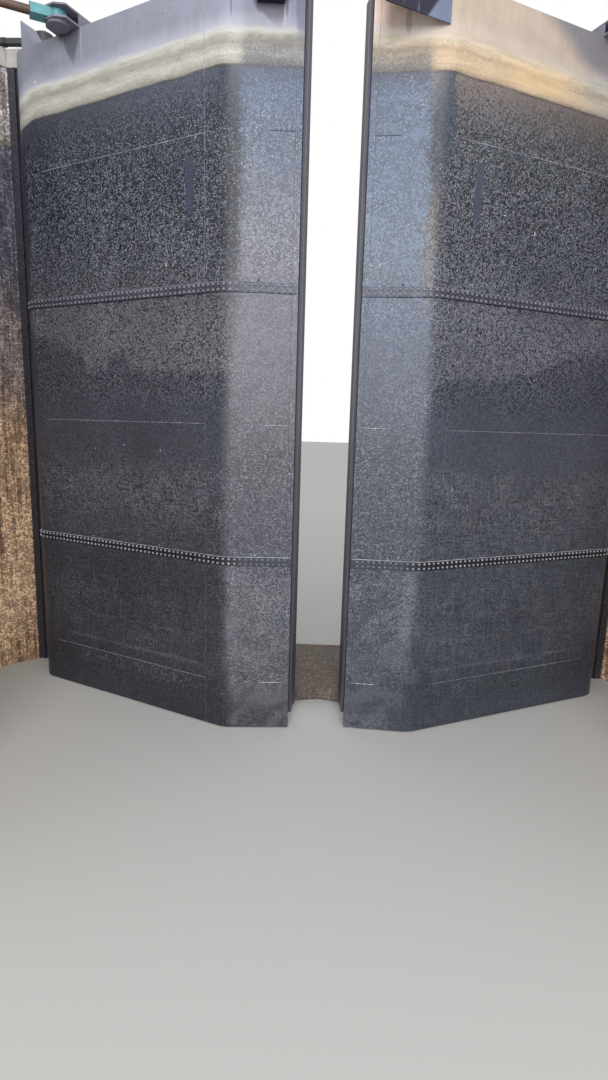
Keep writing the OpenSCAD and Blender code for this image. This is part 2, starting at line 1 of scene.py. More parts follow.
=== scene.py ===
# Lock gate: finishes, bolts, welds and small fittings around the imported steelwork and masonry
import json
import math
import random

import bmesh
import bpy
from mathutils import Matrix, Vector


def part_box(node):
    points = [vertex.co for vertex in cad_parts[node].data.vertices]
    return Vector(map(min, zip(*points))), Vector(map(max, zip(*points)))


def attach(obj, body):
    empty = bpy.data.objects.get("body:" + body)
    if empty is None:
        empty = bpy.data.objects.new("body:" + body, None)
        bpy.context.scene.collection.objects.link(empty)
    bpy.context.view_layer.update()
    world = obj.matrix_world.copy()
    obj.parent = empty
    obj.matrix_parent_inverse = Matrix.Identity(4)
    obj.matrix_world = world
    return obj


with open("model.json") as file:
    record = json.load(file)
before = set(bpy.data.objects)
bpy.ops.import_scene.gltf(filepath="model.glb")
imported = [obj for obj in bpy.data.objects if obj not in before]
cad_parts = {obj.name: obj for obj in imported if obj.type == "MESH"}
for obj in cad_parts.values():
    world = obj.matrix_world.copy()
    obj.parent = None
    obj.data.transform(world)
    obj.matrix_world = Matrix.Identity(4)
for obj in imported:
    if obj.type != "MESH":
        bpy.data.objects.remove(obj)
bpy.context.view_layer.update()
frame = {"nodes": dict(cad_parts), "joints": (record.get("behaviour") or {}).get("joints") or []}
nodes = frame["nodes"]
hinges = {joint["name"]: joint for joint in frame["joints"]}
sides = ("left", "right")
dice = random.Random(11)
print("frame loaded:", len(nodes), "parts")

# Plan of a leaf in metres and degrees: u runs along the skin from a datum line beside the quoin end,
# this far from the pivot, and v runs into the leaf
leafPlan = {
    "pivotOut": 0.230,
    "pivotBack": 0.940,
    "heading": {"left": 25.9, "right": 24.9},
    "closedHeading": 13.3,
    "noseLength": 1.225,
    "noseBend": 29.8,
    "bendRadius": 0.5,
    "wrapRadius": 0.42,
    "wrapFrom": 0.25,
    "barOut": 0.040,
    "closedGap": 0.003,
    "nosePlate": 0.394,
    "strapHeight": 0.155,
    "strapThick": 0.014,
}
pivotX = abs(hinges["leaf_left_hinge"]["pos_m"][0])
closed = math.radians(leafPlan["closedHeading"])
bend = math.radians(leafPlan["noseBend"])
mitreV = leafPlan["noseLength"] * math.sin(bend) - leafPlan["pivotBack"]
mainLength = (
    (pivotX - leafPlan["barOut"] - leafPlan["closedGap"] - mitreV * math.sin(closed)) / math.cos(closed)
    - leafPlan["pivotOut"]
    - leafPlan["noseLength"] * math.cos(bend)
)
bendTangent = leafPlan["bendRadius"] * math.tan(bend / 2)
flatLength = mainLength - bendTangent
bendLength = leafPlan["bendRadius"] * bend
pathLength = flatLength + bendLength + leafPlan["noseLength"] - bendTangent
seamU = mainLength - leafPlan["nosePlate"]
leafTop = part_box("mitre_post_left")[1].z
strapLow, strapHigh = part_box("splice_straps_left")
spliceLevels = (strapLow.z + leafPlan["strapHeight"] / 2, strapHigh.z - leafPlan["strapHeight"] / 2)


# Matrix from a leaf's own plan to the standing leaf; the right one is mirrored
def leafMatrix(side):
    turn = Matrix.Rotation(-math.radians(leafPlan["heading"][side]), 4, "Z")
    toPivot = Matrix.Translation((leafPlan["pivotOut"], -leafPlan["pivotBack"], 0))
    standing = Matrix.Translation((-pivotX, 0, 0)) @ turn @ toPivot
    if side == "right":
        standing = Matrix.Scale(-1, 4, (1, 0, 0)) @ standing
    return standing


# Point of the outer skin at a distance along it, and the direction that it faces there, in leaf plan
def skinPoint(along, out=0.0):
    if along < leafPlan["wrapFrom"]:
        radius = leafPlan["wrapRadius"]
        angle = (along - leafPlan["wrapFrom"]) / radius
        base = Vector((math.sin(angle), -math.cos(angle), 0)) * radius
        base += Vector((leafPlan["wrapFrom"], radius, 0))
    elif along < flatLength:
        base, angle = Vector((along, 0, 0)), 0.0
    elif along < flatLength + bendLength:
        angle = (along - flatLength) / leafPlan["bendRadius"]
        base = Vector((math.sin(angle), 1 - math.cos(angle), 0)) * leafPlan["bendRadius"]
        base += Vector((flatLength, 0, 0))
    else:
        angle = bend
        rest = along - flatLength - bendLength + bendTangent
        base = Vector((mainLength + rest * math.cos(bend), rest * math.sin(bend), 0))
    facing = Vector((math.sin(angle), -math.cos(angle), 0))
    return base + facing * out, facing


# Standing frame on the skin: local z points out of the plate and local y up
def skinFrame(side, along, height, out=0.0):
    point, facing = skinPoint(along, out)
    standing = leafMatrix(side)
    outward = (standing.to_3x3() @ facing).normalized()
    upward = Vector((0, 0, 1))
    made = Matrix((upward.cross(outward), upward, outward)).transposed().to_4x4()
    made.translation = standing @ (point + upward * height)
    return made


# Camera of the photograph: a level lens tilted down a little, seen from a deck in the chamber
cameraLook = {"place": (-0.124, -13.497, 5.621), "turn": -1.19, "down": 10.61, "roll": 1.67, "lens": 19.96}


def addObject(name, data):
    made = bpy.data.objects.new(name, data)
    bpy.context.scene.collection.objects.link(made)
    return made


def makeCamera():
    data = bpy.data.cameras.new("viewCamera")
    data.lens = cameraLook["lens"]
    data.sensor_width = 36.0
    data.clip_end = 500.0
    camera = addObject("viewCamera", data)
    turn = Matrix.Rotation(-math.radians(cameraLook["turn"]), 4, "Z")
    tilt = Matrix.Rotation(math.radians(90 - cameraLook["down"]), 4, "X")
    roll = Matrix.Rotation(math.radians(cameraLook["roll"]), 4, "Z")
    camera.matrix_world = Matrix.Translation(cameraLook["place"]) @ turn @ tilt @ roll
    bpy.context.scene.camera = camera


makeCamera()
print("camera placed")


# One shader tree is built at a time. The helpers put nodes into the one that is open here, and plug
# numbers, colours or other sockets into them
bench = {"tree": None}


def openTree(tree):
    bench["tree"] = tree
    tree.nodes.clear()


def plug(socket, value):
    if isinstance(value, bpy.types.NodeSocket):
        bench["tree"].links.new(value, socket)
    elif socket.type == "RGBA" and len(value) == 3:
        socket.default_value = (*value, 1.0)
    else:
        socket.default_value = value


def put(kind, inputs=None, **settings):
    node = bench["tree"].nodes.new("ShaderNode" + kind)
    for name, value in settings.items():
        setattr(node, name, value)
    for name, value in (inputs or {}).items():
        plug(node.inputs[name], value)
    return node


def calc(operation, *values):
    node = put("Math", operation=operation)
    for socket, value in zip(node.inputs, values):
        plug(socket, value)
    return node.outputs[0]


def product(*values):
    result = values[0]
    for value in values[1:]:
        result = calc("MULTIPLY", result, value)
    return result


# Swing about the middle of a noise, times a size
def around(value, size):
    return product(calc("SUBTRACT", value, 0.5), size)


def mixTone(amount, first, second):
    node = put("Mix", data_type="RGBA")
    for slot, value in ((0, amount), (6, first), (7, second)):
        plug(node.inputs[slot], value)
    return node.outputs[2]


def mixValue(amount, first, second):
    return put("Mix", {0: amount, 2: first, 3: second}).outputs[0]


def fade(value, low, high, toLow=0.0, toHigh=1.0):
    node = put("MapRange", interpolation_type="SMOOTHSTEP")
    slots = ("Value", "From Min", "From Max", "To Min", "To Max")
    for name, number in zip(slots, (value, low, high, toLow, toHigh)):
        plug(node.inputs[name], number)
    return node.outputs[0]


# Rises between the first two levels and falls between the last two
def window(value, rise0, rise1, fall0, fall1):
    return product(fade(value, rise0, rise1), fade(value, fall0, fall1, 1.0, 0.0))


def splitAxes(vector):
    return put("SeparateXYZ", {"Vector": vector}).outputs


def lengthOf(vector):
    return put("VectorMath", {0: vector}, operation="LENGTH").outputs["Value"]


def less(vector, place):
    return put("VectorMath", {0: vector, 1: place}, operation="SUBTRACT").outputs[0]


def ramp(value, stops):
    node = put("ValToRGB", {"Fac": value})
    band = node.color_ramp
    while len(band.elements) < len(stops):
        band.elements.new(0.5)
    for element, (place, tone) in zip(band.elements, sorted(stops)):
        element.position = place
        element.color = tone if len(tone) == 4 else (*tone, 1.0)
    return node.outputs["Color"]


def stretch(vector, scale):
    return put("VectorMath", {0: vector, 1: scale}, operation="MULTIPLY").outputs[0]


def noise(vector, scale, detail=2.0, rough=0.5):
    made = put("TexNoise", {"Vector": vector, "Scale": scale, "Detail": detail, "Roughness": rough})
    return made.outputs[0]


# Screen levels from 0 to 255, as a colour that shaders take
def tone(*levels):
    return tuple(((v / 255 + 0.055) / 1.055) ** 2.4 if v > 10 else v / 255 / 12.92 for v in levels)


def grey(level):
    return (level, level, level)


# A screen tone laid over a colour where the mask is
def tint(mask, colour, levels):
    return mixTone(mask, colour, tone(*levels))


# Colour multiplied by a factor that varies over the surface, or that follows a value between two levels
def shade(colour, factor):
    return put("VectorMath", {0: colour, "Scale": factor}, operation="SCALE").outputs[0]


def shadeBy(colour, value, low, high, atLow, atHigh):
    return shade(colour, fade(value, low, high, atLow, atHigh))


def newGroup(name, inputs, outputs):
    group = bpy.data.node_groups.new(name, "ShaderNodeTree")
    for label, kind, value in inputs:
        socket = group.interface.new_socket(name=label, in_out="INPUT", socket_type="NodeSocket" + kind)
        if value is not None:
            socket.default_value = value
    for label, kind in outputs:
        group.interface.new_socket(name=label, in_out="OUTPUT", socket_type="NodeSocket" + kind)
    openTree(group)
    return group, group.nodes.new("NodeGroupInput").outputs, group.nodes.new("NodeGroupOutput").inputs


def useGroup(group, inputs):
    return put("Group", inputs, node_tree=group).outputs


# Silt that a wet film has caught: small cells, each with a brightness of its own that averages 1,
# and masks of the bright flecks among them, few or many
def makeGrainGroup():
    group, entry, leave = newGroup(
        "siltGrain",
        [("Vector", "Vector", None), ("Size", "Float", 0.03)],
        [("Grain", "Float"), ("Fleck", "Float"), ("Salt", "Float"), ("Fine", "Float")],
    )
    scale = calc("DIVIDE", 1.0, entry["Size"])
    cells = put("TexVoronoi", {"Vector": entry["Vector"], "Scale": scale})
    chosen = put("SeparateColor", {"Color": cells.outputs["Color"]}).outputs
    fine = noise(entry["Vector"], product(scale, 1.7), 2.0, 0.7)
    bright = product(calc("POWER", chosen[0], 1.6), 2.1)
    plug(leave["Grain"], calc("ADD", bright, fade(fine, 0.35, 0.65, 0.0, 0.38)))
    plug(leave["Fine"], fine)
    near = fade(cells.outputs["Distance"], 0.25, 0.5, 1.0, 0.0)
    plug(leave["Fleck"], product(near, fade(chosen[1], 0.90, 0.95)))
    plug(leave["Salt"], product(near, fade(chosen[1], 0.55, 0.65)))
    return group


# Noise drawn out along Z: drips, runs and rain streaks
def makeStreakGroup():
    group, entry, leave = newGroup(
        "verticalRuns",
        [
            ("Vector", "Vector", None), ("Width", "Float", 0.05), ("Length", "Float", 0.8),
            ("Cover", "Float", 0.5),
        ],
        [("Mask", "Float"), ("Soft", "Float")],
    )
    across = calc("DIVIDE", 1.0, entry["Width"])
    down = calc("DIVIDE", 1.0, entry["Length"])
    scale = put("CombineXYZ", {"X": across, "Y": across, "Z": down}).outputs[0]
    soft = noise(stretch(entry["Vector"], scale), 1.0, 3.0, 0.6)
    edge = calc("SUBTRACT", 0.78, product(entry["Cover"], 0.5))
    plug(leave["Soft"], soft)
    plug(leave["Mask"], fade(soft, edge, calc("ADD", edge, 0.12)))
    return group


# Rust that spreads from spots and runs down from them
def makeRustGroup():
    group, entry, leave = newGroup(
        "rustBloom",
        [("Vector", "Vector", None), ("Amount", "Float", 0.3), ("Scale", "Float", 1.5)],
        [("Mask", "Float"), ("Color", "Color")],
    )
    spots = noise(entry["Vector"], entry["Scale"], 6.0, 0.65)
    runs = useGroup(streaks, {"Vector": entry["Vector"], "Width": 0.05, "Length": 0.7, "Cover": 0.6})["Soft"]
    both = calc("ADD", product(spots, 0.65), product(runs, 0.35))
    edge = calc("SUBTRACT", 0.72, product(entry["Amount"], 0.35))
    plug(leave["Mask"], fade(both, edge, calc("ADD", edge, 0.08)))
    depth = noise(entry["Vector"], 18.0, 3.0, 0.6)
    tones = [(0.3, tone(62, 38, 26)), (0.5, tone(112, 66, 38)), (0.7, tone(150, 96, 58))]
    plug(leave["Color"], ramp(depth, tones))
    return group


grain = makeGrainGroup()
streaks = makeStreakGroup()
rust = makeRustGroup()
print("shader groups built")


def speckle(coords, size):
    return useGroup(grain, {"Vector": coords, "Size": size})


def drawRuns(coords, width, length, cover):
    return useGroup(streaks, {"Vector": coords, "Width": width, "Length": length, "Cover": cover})


def grained(colour, specks, amount):
    return shade(colour, calc("ADD", 1.0, product(calc("SUBTRACT", specks["Grain"], 1.0), amount)))


def newMaterial(name):
    material = bpy.data.materials.new(name)
    material.use_nodes = True
    openTree(material.node_tree)
    shader = put("BsdfPrincipled")
    plug(put("OutputMaterial").inputs["Surface"], shader.outputs[0])
    return material, shader, put("TexCoord").outputs["Object"]


def finishPaint(material, shader, colour, roughness, height, depth):
    plug(shader.inputs["Base Color"], colour)
    plug(shader.inputs["Roughness"], roughness)
    plug(shader.inputs["Normal"], put("Bump", {"Height": height, "Distance": depth}).outputs[0])
    return material


# Coordinates of a leaf's own plan, from the standing leaf: the same stains then turn with it
def leafCoords(coords, side):
    heading = math.radians(leafPlan["heading"][side])
    place = (
        pivotX * math.cos(heading) - leafPlan["pivotOut"],
        pivotX * math.sin(heading) + leafPlan["pivotBack"],
        0,
    )
    mirrored = (-1, 1, 1) if side == "right" else (1, 1, 1)
    return put(
        "Mapping", {"Vector": coords, "Location": place, "Rotation": (0, 0, heading), "Scale": mirrored}
    ).outputs[0]


# Skin paint of each leaf: screen tones at heights above the foot, on the flat part and on the nose,
# where the nose's light begins, those of the tide mark from its foot to its head, and how painted shade and
# light on the nose change it. The nose tones carry a painted sheen of the sky
skinLook = {
    "span": 12.5,
    "wetLine": 11.14,
    "bandHeight": 0.56,
    "grainSize": 0.020,
    "saltSize": 0.036,
    "cut": (3.88, 4.30),
    "ledges": [
        (1.17, 0.2), (1.70, 0.13), (2.21, 0.1), (2.66, 0.15), (3.88, 0.14), (4.30, 0.12), (6.57, 0.14),
        (7.19, 0.14),
    ],
    "mainGrain": [
        (0.0, 0.5), (0.6, 0.8), (1.3, 0.75), (3.0, 0.9), (4.2, 1.1), (5.2, 0.75), (6.0, 0.8), (6.5, 1.0),
        (7.6, 1.3), (8.6, 1.8), (9.6, 2.0), (10.3, 1.8), (10.8, 0.9), (11.1, 0.4),
    ],
    "noseGrain": [
        (0.0, 0.4), (0.4, 0.2), (0.8, 0.25), (0.95, 0.6), (1.4, 0.45), (2.2, 0.6), (3.2, 0.65), (4.2, 0.6),
        (5.0, 0.8), (5.8, 0.6), (6.9, 0.65), (7.6, 0.8), (8.4, 1.0), (10.4, 1.0), (11.1, 0.6),
    ],
    "left": {
        "main": [
            (0.2, 34, 39, 49), (0.7, 35, 39, 49), (1.4, 50, 54, 64), (3.0, 53, 57, 68), (3.6, 66, 69, 79),
            (5.9, 69, 72, 84), (6.7, 67, 69, 82), (8.4, 76, 79, 92), (9.4, 44, 49, 72), (10.4, 41, 46, 71),
            (11.1, 68, 73, 90),
        ],
        # Nose tones, paler and bluish high up for a painted sheen of the sky
        "nose": [
            (0.2, 58, 61, 68), (0.8, 72, 74, 82), (2.2, 86, 87, 98), (3.3, 72, 74, 90), (5.0, 78, 78, 89),
            (6.0, 98, 96, 108), (7.4, 109, 109, 126), (8.6, 118, 120, 136), (9.8, 92, 105, 132),
            (10.8, 77, 99, 134), (11.1, 48, 65, 98),
        ],
        "edge": [
            (0.0, 4.83), (1.6, 4.77), (4.0, 4.76), (5.0, 4.78), (6.3, 4.79), (7.2, 4.87), (8.4, 4.91),
            (9.0, 4.93), (11.1, 4.93),
        ],
        "shadeFrom": 7.6,
        # Tone of the painted shade where the plate turns at the bend
        "turn": (48, 52, 66),
        "silt": 0.24,
        "patch": (108, 108, 116),
        "step": [
            (0.0, 7.35), (0.9, 7.15), (1.5, 6.85), (1.66, 6.58), (2.14, 6.6), (2.24, 6.88), (2.6, 6.86),
            (2.7, 6.57), (4.8, 6.5),
        ],
        # Dry paint and tide mark tones, cool: painted shade over the same paint that the right leaf shows in
        # painted sunlight
        "top": (146, 149, 165),
        "topLow": (172, 173, 190),
        "band": [
            (0.0, 164, 161, 152), (0.14, 179, 175, 164), (0.29, 202, 198, 189), (0.43, 194, 189, 182),
            (0.57, 172, 167, 159), (0.66, 174, 171, 160), (0.76, 198, 196, 184), (0.86, 212, 211, 204),
            (0.95, 204, 204, 208), (1.0, 196, 197, 208),
        ],
        # Factors of painted shade on the nose's tide mark and dry paint
        "noseBandShading": [
            (0.1, 0.46, 0.48, 0.56), (0.4, 0.47, 0.48, 0.53), (0.64, 0.62, 0.62, 0.66),
            (0.9, 0.80, 0.80, 0.80),
            (1.3, 0.76, 0.76, 0.78), (1.7, 0.80, 0.80, 0.88),
        ],
        "bandEnd": 0.0,
        # Tone and cover of a faint, bluish painted reflection on the bend
        "bendReflection": (70, 76, 96),
        "bendReflectionCover": 0.2,
        "sunPatch": 0.0,
        "seed": 0.0,
    },
    "right": {
        "main": [
            (0.2, 57, 62, 75), (0.7, 50, 57, 69), (1.4, 61, 68, 82), (3.0, 70, 77, 90), (3.6, 79, 85, 98),
            (5.9, 78, 83, 98), (6.7, 76, 80, 94), (8.4, 87, 90, 104), (9.4, 74, 77, 91), (10.4, 75, 78, 88),
            (11.1, 118, 106, 102),
        ],
        # Nose tones, paler and bluish high up for a painted sheen of the sky
        "nose": [
            (0.2, 60, 66, 79), (2.2, 65, 72, 86), (3.3, 57, 66, 83), (5.0, 65, 73, 90), (6.4, 83, 91, 111),
            (7.4, 86, 97, 124), (8.6, 104, 122, 147), (9.8, 88, 111, 143), (10.8, 79, 99, 131),
            (11.1, 46, 60, 87),
        ],
        "edge": [
            (0.0, 4.86), (1.6, 4.81), (2.6, 4.73), (5.0, 4.75), (6.3, 4.65), (7.2, 4.73), (8.4, 4.76),
            (9.0, 4.82),
            (9.8, 4.92), (11.1, 4.94),
        ],
        "shadeFrom": 9.2,
        # Tone of the painted shade where the plate turns at the bend
        "turn": (48, 60, 77),
        "silt": 0.42,
        "patch": (110, 112, 124),
        "step": [(0.0, 7.2), (1.3, 7.15), (1.9, 7.02), (2.6, 6.7), (3.8, 6.5), (4.8, 6.45)],
        # Dry paint and tide mark tones, warm: painted sunlight over the same paint that the left leaf shows
        # in painted shade
        "top": (194, 177, 162),
        "topLow": (202, 188, 174),
        "band": [
            (0.0, 188, 164, 140), (0.14, 207, 181, 152), (0.29, 216, 190, 161), (0.43, 211, 186, 157),
            (0.57, 200, 174, 146), (0.71, 224, 203, 174), (0.86, 215, 199, 180), (1.0, 207, 192, 177),
        ],
        # Factors of painted shade on the nose's tide mark, rising above 1 into painted light under the nose
        # bracket
        "noseBandShading": [
            (0.1, 0.36, 0.43, 0.58), (0.4, 0.46, 0.53, 0.64), (0.64, 0.68, 0.73, 0.80),
            (0.9, 0.96, 1.0, 1.06),
            (1.1, 1.2, 1.22, 1.3), (1.4, 1.5, 1.45, 1.5), (1.7, 1.5, 1.4, 1.45),
        ],
        "bandEnd": 1.0,
        # Tone and cover of a warm painted reflection of sunlit things on the bend
        "bendReflection": (114, 98, 86),
        "bendReflectionCover": 0.7,
        # Strength of the painted patch of sunlight on the tide mark; it also marks the leaf that gets the
        # painted shadow of the drive bracket
        "sunPatch": 0.32,
        "seed": 40.0,
    },
}
# Single spots: distance along the skin and height, half width and half height, tone and cover
spots = {
    "left": [
        (3.74, 12.16, 0.012, 0.03, (92, 90, 102), 0.7), (3.32, 12.09, 0.015, 0.02, (100, 96, 108), 0.6),
        (3.06, 12.12, 0.012, 0.03, (98, 94, 106), 0.7), (3.58, 12.12, 0.015, 0.02, (96, 94, 104), 0.7),
        (0.55, 11.76, 0.03, 0.02, (224, 224, 218), 0.9), (3.59, 8.32, 0.012, 0.04, (220, 220, 226), 0.9),
        (3.40, 5.14, 0.014, 0.03, (170, 170, 180), 0.8), (2.73, 7.42, 0.06, 0.04, (48, 46, 50), 0.6),
        (1.05, 4.75, 0.012, 0.16, (112, 112, 120), 0.6), (4.08, 11.84, 0.012, 0.2, (120, 120, 132), 0.2),
        (2.51, 5.20, 0.012, 0.02, (190, 190, 200), 0.8), (1.77, 5.11, 0.01, 0.02, (180, 180, 190), 0.8),
        (5.84, 12.0, 0.11, 0.5, (104, 107, 132), 0.75), (4.88, 12.1, 0.017, 0.36, (104, 106, 124), 0.8),
        (4.98, 8.0, 0.02, 0.02, (60, 60, 74), 0.6), (5.45, 8.05, 0.018, 0.02, (60, 60, 74), 0.6),
    ],
    "right": [
        (3.53, 9.25, 0.03, 0.012, (206, 206, 212), 0.8), (2.84, 9.06, 0.014, 0.045, (220, 220, 226), 0.9),
        (3.88, 9.04, 0.014, 0.02, (170, 170, 178), 0.8), (2.22, 9.05, 0.015, 0.02, (180, 180, 190), 0.8),
        (1.43, 8.85, 0.012, 0.25, (48, 48, 58), 0.6), (4.2, 4.6, 0.03, 0.05, (140, 142, 150), 0.7),
        (2.31, 12.2, 0.02, 0.08, (150, 142, 146), 0.6), (2.5, 12.1, 0.015, 0.14, (158, 146, 144), 0.6),
        # The second spot on the next line, the pinkish one, is a painted patch of sunlight on the nose top
        (5.18, 11.78, 0.06, 0.08, (224, 216, 210), 0.5), (5.66, 11.92, 0.06, 0.16, (226, 190, 182), 0.6),
        (5.60, 11.62, 0.12, 0.04, (186, 182, 150), 0.5), (5.40, 11.84, 0.05, 0.22, (130, 124, 128), 0.45),
        # Painted shade on the bend, where the plate turns
        (4.78, 10.4, 0.16, 0.75, (48, 66, 84), 0.42),
    ],
}
# Dark marks that narrow downwards under the drive bracket and the nose bracket, drip stains and painted
# shade of the brackets in one: middle of the tip and of the head, foot, head, half width, tone and cover
wedges = {
    "left": [
        (1.56, 1.48, 11.76, 12.45, 0.27, (84, 84, 98), 0.85),
        (5.52, 5.41, 11.62, 12.02, 0.22, (94, 86, 102), 0.9),
    ],
    "right": [],
}
# Light upright streaks: middle, foot, head, half width and cover
washes = {
    "left": [
        (1.76, 11.75, 12.35, 0.02, 0.35), (5.60, 11.62, 12.0, 0.02, 0.35), (5.66, 11.7, 12.0, 0.012, 0.3),
    ],
    "right": [(5.30, 11.55, 11.95, 0.03, 0.3)],
}


def spotMask(place, spot):
    reach = lengthOf(stretch(less(place, (spot[0], 0.0, spot[1])), (1 / spot[2], 0.0, 1 / spot[3])))
    return product(fade(reach, 0.6, 1.1, 1.0, 0.0), spot[5])


def wedgeMask(along, height, shape, waver):
    tip, top, foot, head, half = shape[:5]
    middle = fade(height, foot, head, tip, top)
    width = fade(height, foot, head, 0.03, half)
    offset = calc("ABSOLUTE", calc("SUBTRACT", along, middle))
    share = calc("ADD", calc("DIVIDE", offset, width), product(waver, 1.4))
    return product(fade(share, 0.75, 1.2, 1.0, 0.0), fade(height, foot, foot + 0.3))


def toneRamp(share, stops):
    return ramp(share, [(level / skinLook["span"], tone(*colour)) for level, *colour in stops])


# Number that follows height or distance, by stops between 0 and span
def levelRamp(share, stops, span, scale=1.0):
    made = ramp(share, [(at / span, grey(value / scale)) for at, value in stops])
    return product(put("SeparateColor", {"Color": made}).outputs[0], scale)


def makeSkinPaint(side):
    look = skinLook[side]
    span = skinLook["span"]
    material, shader, coords = newMaterial("skinPaint_" + side)
    place = leafCoords(coords, side)
    axes = splitAxes(place)
    along, height = axes["X"], axes["Z"]
    shifted = put("VectorMath", {0: place, 1: grey(look["seed"])}, operation="ADD").outputs[0]
    specks = speckle(shifted, skinLook["grainSize"])
    broad = noise(shifted, 0.6, 3.0, 0.55)
    cloud = noise(shifted, 2.6, 4.0, 0.62)
    waver = calc("SUBTRACT", cloud, 0.5)
    share = calc("DIVIDE", height, span)
    main = toneRamp(share, look["main"])
    edgeAt = levelRamp(share, look["edge"], span, 5.0)
    fromEdge = calc("SUBTRACT", calc("ADD", along, product(waver, 0.09)), edgeAt)
    nose = fade(fromEdge, 0.0, 0.2)

    # Silt above the old water mark, with a stepped and ragged lower edge
    runs = drawRuns(shifted, 0.13, 0.5, 0.5)
    edge = levelRamp(calc("DIVIDE", along, 5.0), look["step"], 5.0, 10.0)
    ragged = calc("SUBTRACT", height, edge)
    ragged = calc("ADD", ragged, around(runs["Soft"], 0.5))
    patch = product(fade(ragged, -0.10, 0.10), fade(height, 7.5, 8.5, 1.0, 0.0), 0.82)
    main = tint(patch, main, look["patch"])

    # Upright patches of silt below the middle weld, cut off along the girder lines, and others lower down
    columns = noise(stretch(shifted, (3.0, 3.0, 1.2)), 1.0, 4.0, 0.62)
    reach = calc("ADD", height, around(columns, 1.6))
    upper = window(reach, 3.3, 3.5, 4.85, 4.97)
    lower = window(reach, 0.95, 1.3, 2.4, 3.1)
    blotch = calc("ADD", product(columns, 0.65), product(cloud, 0.35))
    blotch = product(fade(blotch, 0.455, 0.515), calc("MAXIMUM", upper, product(lower, 0.6)))
    low, high = skinLook["cut"]
    steps = [(3.0, 0.75), (3.4, 0.3), (low - 0.02, 0.35), (low + 0.01, 0.75)]
    steps += [(high - 0.02, 0.7), (high + 0.01, 1.0)]
    blotch = product(blotch, levelRamp(share, steps, span))
    main = tint(product(blotch, look["silt"]), main, (104, 104, 114))

    # Thin pale lines over the stiffeners behind the plate
    lines = []
    for at, amount in skinLook["ledges"]:
        lines += [(at - 0.025, 0), (at, amount), (at + 0.03, 0)]
    uneven = fade(cloud, 0.38, 0.55, 0.4, 1.0)
    ledges = product(levelRamp(share, lines, span), window(along, 0.5, 1.2, 4.1, 4.45), uneven)
    main = tint(ledges, main, (150, 150, 160))
    brushed = calc(
        "ADD", noise(stretch(shifted, (34.0, 34.0, 2.4)), 1.0, 2.0, 0.6),
        noise(stretch(shifted, (2.4, 2.4, 34.0)), 1.0, 2.0, 0.6),
    )
    brushed = product(fade(brushed, 0.85, 1.15, -0.28, 0.28), fade(height, 5.4, 4.2))
    main = shade(main, calc("ADD", 1.0, brushed))

    # A smooth bluish strip, with less grain, on the same place of both leaves
    strip = product(window(along, 4.02, 4.05, 4.16, 4.19), window(height, 8.9, 9.2, 9.94, 9.98))

    # The nose is painted paler where it faces the light, a painted sheen of the sky, with wear that runs
    # along the bend
    face = toneRamp(share, look["nose"])
    face = shadeBy(face, cloud, 0.36, 0.64, 0.94, 1.06)
    scuffed = product(fade(height, 3.4, 2.6), fade(cloud, 0.44, 0.56), 0.35)
    face = tint(scuffed, face, (112, 112, 120))
    wet = mixTone(nose, main, face)
    # Painted reflection on the bend: a patch of sunlit things beyond, warm and strong on the right leaf,
    # faint and bluish on the left
    sheenAlong = calc("ADD", along, product(waver, 0.25))
    bendReflection = product(window(sheenAlong, 4.80, 4.92, 4.96, 5.06), window(height, 7.2, 8.4, 9.1, 9.7))
    wet = tint(product(bendReflection, look["bendReflectionCover"]), wet, look["bendReflection"])
    # Painted highlight: a pale line along the bend, low down
    bendHighlight = product(window(sheenAlong, 4.80, 4.90, 4.98, 5.1), window(height, 1.0, 1.8, 2.8, 3.6), 0.14)
    wet = tint(bendHighlight, wet, (150, 152, 164))

    # Painted shade: high up, the plate is painted darker where it starts to turn at the bend
    upper = fade(height, look["shadeFrom"], look["shadeFrom"] + 1.0)
    wet = tint(product(window(along, 4.62, 4.78, 4.93, 5.04), upper, 0.8), wet, look["turn"])

    # Near the tide mark the flat part gets paler towards the bend
    rise = fade(along, 1.0, 4.2, 0.72, 1.18)
    rise = mixValue(product(fade(height, 10.2, 10.95), calc("SUBTRACT", 1.0, nose)), 1.0, rise)
    wet = shade(wet, rise)

    # Grains are strongest from the upper splice to just under the wet line, and finer on the nose
    mainGrain = levelRamp(share, skinLook["mainGrain"], span, 2.0)
    inSilt = calc("MAXIMUM", fade(height, 5.4, 6.2), fade(blotch, 0.0, 0.6, 0.55, 0.8))
    noseGrain = levelRamp(share, skinLook["noseGrain"], span)
    strength = mixValue(nose, product(mainGrain, inSilt), noseGrain)
    smooth = fade(noise(shifted, 6.0, 2.0, 0.5), 0.34, 0.42, 0.45, 1.0)
    wrapped = fade(along, 0.05, 0.24, 0.25, 1.0)
    strength = product(strength, smooth, fade(broad, 0.3, 0.6, 0.8, 1.1), wrapped)
    strength = product(strength, fade(strip, 0.0, 1.0, 1.0, 0.2))
    swing = product(calc("SUBTRACT", specks["Grain"], 1.0), strength)
    wet = shade(wet, calc("MAXIMUM", calc("ADD", 1.0, calc("MINIMUM", swing, 0.0)), 0.25))
    pale = calc("MINIMUM", product(calc("MAXIMUM", swing, 0.0), fade(nose, 0.0, 1.0, 0.12, 0.36)), 0.7)
    wet = tint(pale, wet, (198, 199, 208))
    pits = product(fade(specks["Grain"], 0.5, 0.15), strength, fade(nose, 0.0, 1.0, 0.3, 0.12))
    wet = shade(wet, calc("SUBTRACT", 1.0, pits))
    fleck = product(specks["Fleck"], strength, fade(nose, 0.0, 1.0, 0.45, 0.25))
    wet = tint(fleck, wet, (186, 188, 196))
    saltBand = calc("ADD", height, product(waver, 0.5))
    salted = product(window(saltBand, 0.60, 0.74, 0.86, 0.96), window(along, 0.9, 1.4, 4.0, 4.4))
    coarse = speckle(shifted, skinLook["saltSize"])
